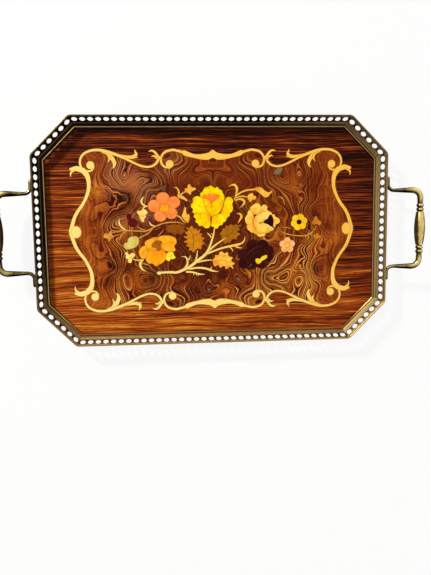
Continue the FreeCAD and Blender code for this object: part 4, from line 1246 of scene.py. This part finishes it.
RIGHT_LEAVES = [
    (GOLD, (49.4, 47.3, 10), [
        (48.4, 47.9), (52.6, 50.2), (57.2, 49.4), (60.1, 46.8), (63.2, 44.7), (66.4, 44.2),
        (69.8, 45.7), (67.1, 41.4), (63.2, 38), (59.8, 38.6), (55.9, 42), (52, 44.8)]),
    (GOLD, NO_SCORCH, [
        # A rod is a round section that is pulled on, widened, narrowed and bent, as a smith and a turner
        # do it. A curve with a round bevel could make it too, but a section that is pulled ring by ring
        # takes its own radius, and its own share of grime and painted shade, at each place. The floor,
        # the handles and the rivets are made so. A finished piece gets smooth faces and crisp edges, and
        # the CAD nodes that it stands for are hidden.
        (40.5, 38.1), (41.6, 41.4), (43.9, 42.6), (46.8, 43.1), (47.8, 40.5), (50.7, 39.2),
        (49.3, 35.7), (47, 35.7), (44.6, 33.2), (42, 34.5)]),
    (OLIVE, NO_SCORCH, [
        (68.7, 37), (70.3, 39.3), (73.9, 40), (75.8, 36.4), (75.5, 32.8), (71.6, 31.8), (69.2, 34.2)]),
    (OLIVE, NO_SCORCH, [
        (73.4, 27.2), (76.8, 25.9), (79.7, 26.6), (81, 23.2), (77.1, 21.2), (75, 23.6)]),
    (AMBER, NO_SCORCH, [
        (121.3, 15.8), (119.2, 12.2), (116.8, 9.1), (118.7, 5.7), (122.7, 6.4), (125.6, 4.8),
        (128.3, 7.6), (124.5, 11.8)]),
    (AMBER, NO_SCORCH, [
        (118, -7.1), (121.2, -5.6), (122.5, -3.5), (124.9, -5.7), (128.4, -9.4), (125.2, -9.9),
        (123.6, -11.7), (120.7, -10.6)]),
    (OLIVE, NO_SCORCH, [
        (103.3, -12.9), (106, -12.2), (107.6, -9.8), (111.6, -13.6), (110.3, -18.8), (107.4, -16.1),
        (105.2, -16.6)]),
]
SPRIGS = [
    ("sprigs_left_veneers", LEFT_STALKS, LEFT_LEAVES),
    ("sprigs_right_veneers", RIGHT_STALKS, RIGHT_LEAVES),
]
LEAFLET_RIM = 0.45
for name, stalks, leaves in SPRIGS:
    inlay = Inlay(SCROLL_LEVEL)
    for tint, line in stalks:
        inlay.ribbon(line, tint)
    for tint, root, outline in leaves:
        inlay.lay(outline, tint, root=root, rim=LEAFLET_RIM)
    add_piece(name, inlay.bm, dyed, "boxwood")

# %% [markdown]
# Brass is a yellow metal that browns and then blackens where nobody rubs it. Each zone could be a
# material of its own. Here one finish serves the gallery and the handles, and masks on the tray's
# coordinates let the zones run into each other. Light and shade are painted by the direction that a
# surface faces: upper sides are lighter, partly as wear, and sides and undersides are painted dark.
# The grips are the brightest, and the arms carry a painted highlight on their backs with painted
# shade on both sides. The left handle is painted darker. The inside of the gallery is painted nearly
# black at the back and the left as painted shade, it is darker towards the right end, its outside
# is plain brown brass, and old varnish sits on the bead at the front.

# %% Aged brass
HANDLES_FROM = (0.2008, 0.2030)
GRIPS_FROM = (0.224, 0.234)
SCRATCH_DEPTH = 0.00003

brass = Finish("aged_brass")
place = brass.place()
along = brass.axis(place, "X")
normal = brass.node("TexCoord", {}, {}, "Normal")
facing = brass.axis(normal, "Z")
stain = brass.noise(place, scale=120, detail=3, roughness=0.6)
scratch = brass.noise(brass.stretched(place, (260, 900, 900)), detail=2)
outward = brass.math("ABSOLUTE", along)
handle = brass.step(outward, *HANDLES_FROM)
grip = brass.step(outward, *GRIPS_FROM)
gallery = 1 - handle

# Painted light and shade: faces turned up, and on the handles faces turned to the back, are lighter,
# partly as wear; sides and undersides are painted dark.
start = 0.1 + handle * 0.95 - grip * 0.12
lit_and_worn = facing + brass.axis(normal, "Y") * handle * 0.3 + stain * 0.4
rubbed_and_lit = brass.step(lit_and_worn, start, start + 0.7 - handle * 0.35)
arm_shade = brass.mix(brass.step(facing, 0.20, 0.50), "#5e4a20", "#0c0803")
shade = brass.mix(grip, brass.mix(handle, "#7a622e", arm_shade), "#3c2c0e")
metal = brass.mix(rubbed_and_lit, shade, "#e8c482")
metal = brass.mix(brass.step(stain, 0.5, 0.72) * 0.35, metal, "#6b5426")
# Polish on the grips, with painted shade on the left handle, which is kept darker.
polish_and_light = handle * (0.4 + grip * 0.6) * (0.45 + brass.step(along, -0.1, 0.1) * 0.55)
metal = brass.mix(polish_and_light * rubbed_and_lit * 0.9, metal, "#ffe48c")
# The gallery is darker towards the right end.
right_end_darker = brass.step(along, 0.10, 0.19) * gallery
metal = brass.mix(right_end_darker * 0.3, metal, "#4a3a1c")

# The bead is spared the painted shade.
bare = brass.attribute("bare", "Fac")
# Painted shade: the gallery at the back and the left is painted nearly black, a little less on faces
# turned up and on its outside.
painted_back_left_shade = 1 - brass.step(away_from_shaded_back_left(brass, place) + stain * 0.3, -0.25, 0.55)
painted_back_left_shade = painted_back_left_shade * gallery * (1 - bare) * (1 - brass.step(facing, 0.80, 0.97) * 0.2)
painted_back_left_shade = painted_back_left_shade * (0.45 + brass.step(facing, 0.1, 0.4) * 0.55)
metal = brass.mix(painted_back_left_shade * 0.975, metal, "#0e0a05")
varnish = bare * brass.step(brass.axis(place, "Y"), -0.09, -0.112)
metal = brass.mix(varnish * 0.85, metal, "#6a300c")
# Grime and painted shade in the grooves between the handle rings, round the holes and on the webs
# between them.
metal = brass.mix(brass.attribute("groove", "Fac") * 0.92, metal, "#171006")
brass.surface(
    Base_Color=metal,
    Metallic=1 - varnish * 0.9 - polish_and_light * 0.45,
    Specular_Tint="#3a2c12",
    Roughness=0.2 + stain * 0.25 + varnish * 0.3,
    bump=scratch,
    bump_depth=SCRATCH_DEPTH,
)

# %% [markdown]
# All the brass follows one octagon, the edge of the board. Its eight corners are written once, and
# everything that stands out from the board is measured along the mitres at these corners, so that
# the panels, the rim and the bead meet there. One ring with eight bevelled corners would do for a
# plain wall, but the panels carry holes and have to be straight.

# %% Octagon
SIDES = [
    "right", "corner_back_right", "back", "corner_back_left",
    "left", "corner_front_left", "front", "corner_front_right",
]
CORNERS = [
    Vector((HALF_LENGTH, CORNER_CUT - HALF_WIDTH, 0)),
    Vector((HALF_LENGTH, HALF_WIDTH - CORNER_CUT, 0)),
    Vector((HALF_LENGTH - CORNER_CUT, HALF_WIDTH, 0)),
    Vector((CORNER_CUT - HALF_LENGTH, HALF_WIDTH, 0)),
    Vector((-HALF_LENGTH, HALF_WIDTH - CORNER_CUT, 0)),
    Vector((-HALF_LENGTH, CORNER_CUT - HALF_WIDTH, 0)),
    Vector((CORNER_CUT - HALF_LENGTH, -HALF_WIDTH, 0)),
    Vector((HALF_LENGTH - CORNER_CUT, -HALF_WIDTH, 0)),
]


def corner_at(corner):
    return CORNERS[corner % len(CORNERS)]


def side_along(side):
    return (corner_at(side + 1) - corner_at(side)).normalized()


def side_out(side):
    return side_along(side).cross(UP)


def corner_point(corner, reach, z):
    """A corner of the octagon that stands out from the board by reach, at height z."""
    before = side_out(corner - 1)
    after = side_out(corner)
    return corner_at(corner) + (before + after) * (reach / (1 + before.dot(after))) + UP * z


print("octagon sides:", [round((corner_at(k + 1) - corner_at(k)).length) for k in range(len(SIDES))])

# %% [markdown]
# The gallery is brass sheet, pressed to a skirt, a flared band and an upright lip, and pierced
# with round holes. The holes could be cut with a boolean, but that leaves thin slivers of faces.
# Here one hole is a circle whose edge is pulled out to a square cell, and a row of cells makes the
# band. Grime and painted shade round the holes, and painted shade on the webs between them, are kept
# with the vertices.

# %% Pierced band
SHEET = 0.9
SKIRT_LIFT = 0.4
BEND_Z = 8.3
FLARE = math.radians(35)
FLARE_SLANT = 14.0
LIP_HEIGHT = 3
HOLE_DIAMETER = 6.5
HOLE_PITCH = 8.7
HOLE_SLANT = 10.0
HOLE_SEGMENTS = 24
HOLE_GRIME_AND_SHADE = 0.9
WEB_SHADE = 0.9
FLARE_REACH = FLARE_SLANT * math.sin(FLARE)
LIP_Z = BEND_Z + FLARE_SLANT * math.cos(FLARE)
LIP_TOP = LIP_Z + LIP_HEIGHT
LIP_FACE = FLARE_REACH + SHEET
CELL_HALF = FLARE_SLANT - HOLE_SLANT
NEAR = 0.001


def pierced_band(run):
    """A flat strip of square cells with a round hole in each, along local X."""
    bm = bmesh.new()
    groove = bm.verts.layers.float.new("groove")
    count = int(run / HOLE_PITCH)
    step = run / count
    for vert in bmesh.ops.create_circle(bm, segments=HOLE_SEGMENTS, radius=HOLE_DIAMETER / 2)["verts"]:
        vert[groove] = HOLE_GRIME_AND_SHADE
    made = bmesh.ops.extrude_edge_only(bm, edges=bm.edges[:])["geom"]
    for vert in verts_of(made):
        vert[groove] = WEB_SHADE if abs(vert.co.x) > abs(vert.co.y) else 0.0
        vert.co /= max(abs(vert.co.x), abs(vert.co.y))
        vert.co.x *= step / 2
        vert.co.y *= CELL_HALF
    bmesh.ops.translate(bm, verts=bm.verts, vec=((step - run) / 2, HOLE_SLANT, 0))
    cell = all_of(bm)
    for k in range(1, count):
        copy = bmesh.ops.duplicate(bm, geom=cell)["geom"]
        bmesh.ops.translate(bm, verts=verts_of(copy), vec=(k * step, 0, 0))
    bmesh.ops.remove_doubles(bm, verts=bm.verts, dist=NEAR)
    return bm


print("holes in 100 mm:", round(100 / HOLE_PITCH, 1))

# %% [markdown]
# A panel is pressed from the flat pierced band: its two long edges are pulled on through a small
# bead, the skirt and the lip, and its ends are pulled out by some spare sheet. The sheet is then
# thickened, stood in its place and sawn on both mitres. Bending a thick sheet would crush its inner
# side, so the thickness comes after the bends.

# %% Gallery panels
# Strips below the holes, as slant and height over the sheet: the pressed bead, then the bend
BEAD_PROFILE = [(5.3, 0.0), (4.9, 0.45), (4.4, 0.65), (3.9, 0.45), (3.5, 0.0), (0.0, 0.0)]
SPARE = 14


def edges_at(bm, axis, value):
    """Edges on one straight side of the flat sheet."""
    found = []
    for edge in bm.edges:
        if all(abs(vert.co[axis] - value) < NEAR for vert in edge.verts):
            found.append(edge)
    return found


def pull_edges(bm, edges, step):
    """Pulls a strip of sheet out of some edges and gives back its far edges."""
    made = bmesh.ops.extrude_edge_only(bm, edges=edges)["geom"]
    verts = verts_of(made)
    bmesh.ops.translate(bm, verts=verts, vec=step)
    return [edge for edge in edges_of(made) if set(edge.verts) <= set(verts)]


def gallery_panel(side):
    """One side of the gallery, pressed from a flat pierced strip and sawn on both mitres."""
    reach = HOLE_SLANT * math.sin(FLARE)
    run = (corner_point(side + 1, reach, 0) - corner_point(side, reach, 0)).length
    bm = pierced_band(run)
    lower = edges_at(bm, 1, HOLE_SLANT - CELL_HALF)
    upper = edges_at(bm, 1, FLARE_SLANT)
    at = Vector((0, HOLE_SLANT - CELL_HALF, 0))
    for slant, height in BEAD_PROFILE:
        target = Vector((0, slant, height))
        lower = pull_edges(bm, lower, target - at)
        at = target
    straight_up = Vector((0, math.cos(FLARE), math.sin(FLARE)))
    pull_edges(bm, lower, straight_up * (SKIRT_LIFT - BEND_Z))
    pull_edges(bm, upper, straight_up * LIP_HEIGHT)
    for end in BOTH:
        pull_edges(bm, edges_at(bm, 0, end * run / 2), (end * SPARE, 0, 0))
    bmesh.ops.recalc_face_normals(bm, faces=bm.faces)
    if sum(face.normal.z for face in bm.faces) < 0:
        bmesh.ops.reverse_faces(bm, faces=bm.faces)
    bmesh.ops.solidify(bm, geom=bm.faces[:], thickness=SHEET)
    along = side_along(side)
    out = side_out(side)
    slant = out * math.sin(FLARE) + UP * math.cos(FLARE)
    inward = UP * math.sin(FLARE) - out * math.cos(FLARE)
    turn = Matrix((along, slant, inward)).transposed().to_4x4()
    middle = (corner_at(side) + corner_at(side + 1)) / 2 + UP * BEND_Z
    bmesh.ops.transform(bm, matrix=Matrix.Translation(middle) @ turn, verts=bm.verts)
    for corner, end in ((side, -1), (side + 1, 1)):
        mitre = side_out(corner - 1) + side_out(corner)
        away = mitre.cross(UP).normalized()
        away *= math.copysign(1, away.dot(along)) * end
        sawn = bmesh.ops.bisect_plane(
            bm,
            geom=all_of(bm),
            plane_co=corner_at(corner),
            plane_no=away,
            clear_outer=True,
        )
        bmesh.ops.edgeloop_fill(bm, edges=edges_of(sawn["geom_cut"]))
    return to_metres(bm)


for side, name in enumerate(SIDES):
    add_piece("gallery_" + name + "_pierced", gallery_panel(side), brass, "brass", "gallery_" + name)

# %% [markdown]
# A rim closes the top of the gallery and a bead covers the joint at the board. A curve with a bevel
# would pinch at the corners, so both are one octagon whose corners are rounded a little, inset to a
# ring, raised, and rounded along the edges. The bead is kept bright, free of the painted shade, and
# tells the brass finish so.

# %% Rim and foot bead
RIM_OVERHANG = 0.7
RIM_HEIGHT = 1.8
RIM_ROUNDS = (3.0, 0.7)
FOOT_BEAD_WIDTH = 1.7
FOOT_BEAD_HEIGHT = 1.4
FOOT_BEAD_ROUNDS = (1.0, 1.2)
CREASE = 1.0
ROUNDING = {"profile": 0.5, "material": -1}


def octagon_ring(reach, width, z, height, rounds, bare=0.0):
    """A ring round the tray: its outer face at reach, its foot at z, and how free of painted shade it
    is.
    """
    corner_round, edge_round = rounds
    bm = bmesh.new()
    shade_free_layer = bm.verts.layers.float.new("bare")
    bm.faces.new([bm.verts.new(corner_point(k, reach, z)) for k in range(len(CORNERS))])
    corners = bm.verts[:]
    bmesh.ops.bevel(bm, geom=corners, offset=corner_round, segments=4, affect="VERTICES", **ROUNDING)
    plate = bm.faces[:]
    bmesh.ops.inset_region(bm, faces=plate, thickness=width, use_boundary=True, use_even_offset=True)
    bmesh.ops.delete(bm, geom=plate, context="FACES")
    raised = bmesh.ops.extrude_face_region(bm, geom=bm.faces[:])["geom"]
    tops = verts_of(raised)
    bmesh.ops.translate(bm, verts=tops, vec=UP * height)
    bmesh.ops.recalc_face_normals(bm, faces=bm.faces)
    edges = []
    for edge in bm.edges:
        if set(tops).issuperset(edge.verts) and edge.calc_face_angle(0.0) > CREASE:
            edges.append(edge)
    bmesh.ops.bevel(bm, geom=edges, offset=edge_round, segments=3, affect="EDGES", **ROUNDING)
    for vert in bm.verts:
        vert[shade_free_layer] = bare
    return to_metres(bm)


rim_reach = LIP_FACE + RIM_OVERHANG
rim_width = SHEET + 2 * RIM_OVERHANG
rim = octagon_ring(rim_reach, rim_width, LIP_TOP, RIM_HEIGHT, RIM_ROUNDS)
add_piece("gallery_rim_rolled", rim, brass, "brass", "gallery_rim")
bead_z = BOARD_TOP / MM
bead = octagon_ring(0.0, FOOT_BEAD_WIDTH, bead_z, FOOT_BEAD_HEIGHT, FOOT_BEAD_ROUNDS, bare=1.0)
add_piece("gallery_foot_bead_rolled", bead, brass, "brass", "gallery_foot_bead")

# %% [markdown]
# Each handle is a cast rod: a foot that lies along the lip, a bend outward, an arm, a second bend
# and a turned grip with two rings at each end of a barrel. Half of it is drawn as one round section
# that is pulled and bent along, and the other half is its mirror image. A curve could give the bends,
# but not the rings and the swelling barrel. The left handle is the right one, turned over.

# %% Handles
HANDLE_SPAN = 88
HANDLE_REACH = 36
HANDLE_RISE = math.radians(10)
ARM_RADIUS_AT_FOOT = 2.0
ARM_RADIUS_AT_GRIP = 3.4
FOOT_BEND = 7
GRIP_BEND = 9
FOOT_LENGTH = 16
FOOT_THICKNESS = 2.8
FOOT_TIP = [(15.8, 0.7), (15.4, 1.4), (14.6, 1.9), (12.0, 2.0)]
FOOT_INSET = 0.8
RING_RADIUS = 4.1
RING_WIDTH = 4
RING_GAP = 0.8
RING_SHAPE = [(1.0, 0.0), (0.88, 0.65), (0.7, 0.95), (0.5, 1.0), (0.3, 0.95), (0.12, 0.65), (0.0, 0.0)]
GROOVE_RADIUS = 3.0
BARREL_LENGTH = 38
BARREL_RADIUS = 6.1
BARREL_END_RADIUS = 4.1
BARREL_STEPS = 8
ROD_SEGMENTS = 24
BEND_STEPS = 6
MERGE = 0.01
half_span = HANDLE_SPAN / 2
foot_end = half_span + FOOT_LENGTH
foot_z = LIP_Z + LIP_HEIGHT / 2
foot_face = HALF_LENGTH + LIP_FACE + FOOT_THICKNESS
ALONG = Vector((0, 1, 0))
OUT = Vector((1, 0, 0))


def grip_profile():
    """Places along the grip, end to middle, with the radius and the grime and painted shade at each."""
    profile = []
    half_barrel = BARREL_LENGTH / 2
    for k in (1, 0):
        low = half_barrel + RING_GAP + k * (RING_WIDTH + RING_GAP)
        for share, fullness in RING_SHAPE:
            radius = GROOVE_RADIUS + (RING_RADIUS - GROOVE_RADIUS) * fullness
            profile.append((low + RING_WIDTH * share, radius, 1.0 - fullness))
    profile.append((half_barrel + RING_GAP / 2, GROOVE_RADIUS, 1.0))
    for k in range(BARREL_STEPS + 1):
        share = 1 - k / BARREL_STEPS
        radius = BARREL_END_RADIUS + (BARREL_RADIUS - BARREL_END_RADIUS) * (1 - share ** 2)
        profile.append((half_barrel * share, radius, 0.0))
    return profile


def right_handle():
    """The casting at the right end: half of it pulled and bent, then mirrored."""
    foot_axis = -FOOT_INSET
    tip, tip_radius = FOOT_TIP[0]
    rod = Rod(Vector((foot_axis, half_span + tip, 0)), -ALONG, tip_radius, ROD_SEGMENTS)
    rod.pull_through(ALONG, tip, FOOT_TIP[1:] + [(FOOT_BEND, ARM_RADIUS_AT_FOOT)])
    rod.bend(Vector((foot_axis + FOOT_BEND, half_span + FOOT_BEND, 0)), UP, math.pi / 2, BEND_STEPS)
    rod.pull(OUT * (HANDLE_REACH - GRIP_BEND - FOOT_BEND - foot_axis), ARM_RADIUS_AT_GRIP)
    rod.bend(Vector((HANDLE_REACH - GRIP_BEND, half_span - GRIP_BEND, 0)), UP, -math.pi / 2, BEND_STEPS)
    rod.pull_through(ALONG, half_span - GRIP_BEND, grip_profile())
    bm = rod.bm
    bmesh.ops.mirror(bm, geom=all_of(bm), axis="Y", merge_dist=MERGE)
    rise = Matrix.Rotation(-HANDLE_RISE, 4, "Y")
    bmesh.ops.transform(bm, matrix=Matrix.Translation((foot_face, 0, foot_z)) @ rise, verts=bm.verts)
    return to_metres(bm)


def left_of(bm):
    """The same piece at the left end."""
    bmesh.ops.scale(bm, verts=bm.verts, vec=(-1, 1, 1))
    return bm


add_piece("handle_right_cast", right_handle(), brass, "brass", "handle_right")
add_piece("handle_left_cast", left_of(right_handle()), brass, "brass", "handle_left")

# %% [markdown]
# A rivet through each foot holds the handle to the lip. Its two heads are low domes. A flattened
# sphere would do for a head, but a turned profile makes the shank and both heads in one run.

# %% Rivets
RIVET_RADIUS = 0.8
RIVET_HEAD_RADIUS = 1.3
RIVET_HEAD_HEIGHT = 0.8
RIVET_FROM_FOOT_END = 3.2
RIVET_SEGMENTS = 16
DOME = [(0.0, 1.0), (0.45, 0.85), (0.8, 0.55), (1.0, 0.2)]


def rivet(y):
    """One rivet, turned from its inner head to its outer head."""
    shank = FOOT_THICKNESS + SHEET
    head = [(height * RIVET_HEAD_HEIGHT, share * RIVET_HEAD_RADIUS) for height, share in DOME]
    profile = [(-shank - height, radius) for height, radius in head[::-1]]
    profile += [(-shank, RIVET_RADIUS), (0.0, RIVET_RADIUS)] + head
    inner, inner_radius = profile[0]
    turned = Rod(Vector((foot_face + inner, y, foot_z)), OUT, inner_radius, RIVET_SEGMENTS)
    turned.pull_through(OUT, inner, profile[1:])
    turned.close()
    return to_metres(turned.bm)


rivets = bmesh.new()
for sign in BOTH:
    y = sign * (foot_end - RIVET_FROM_FOOT_END)
    join_into(rivets, rivet(y))
    join_into(rivets, left_of(rivet(y)))
add_piece("handle_rivets_domed", rivets, brass, "brass", "handle_rivets")
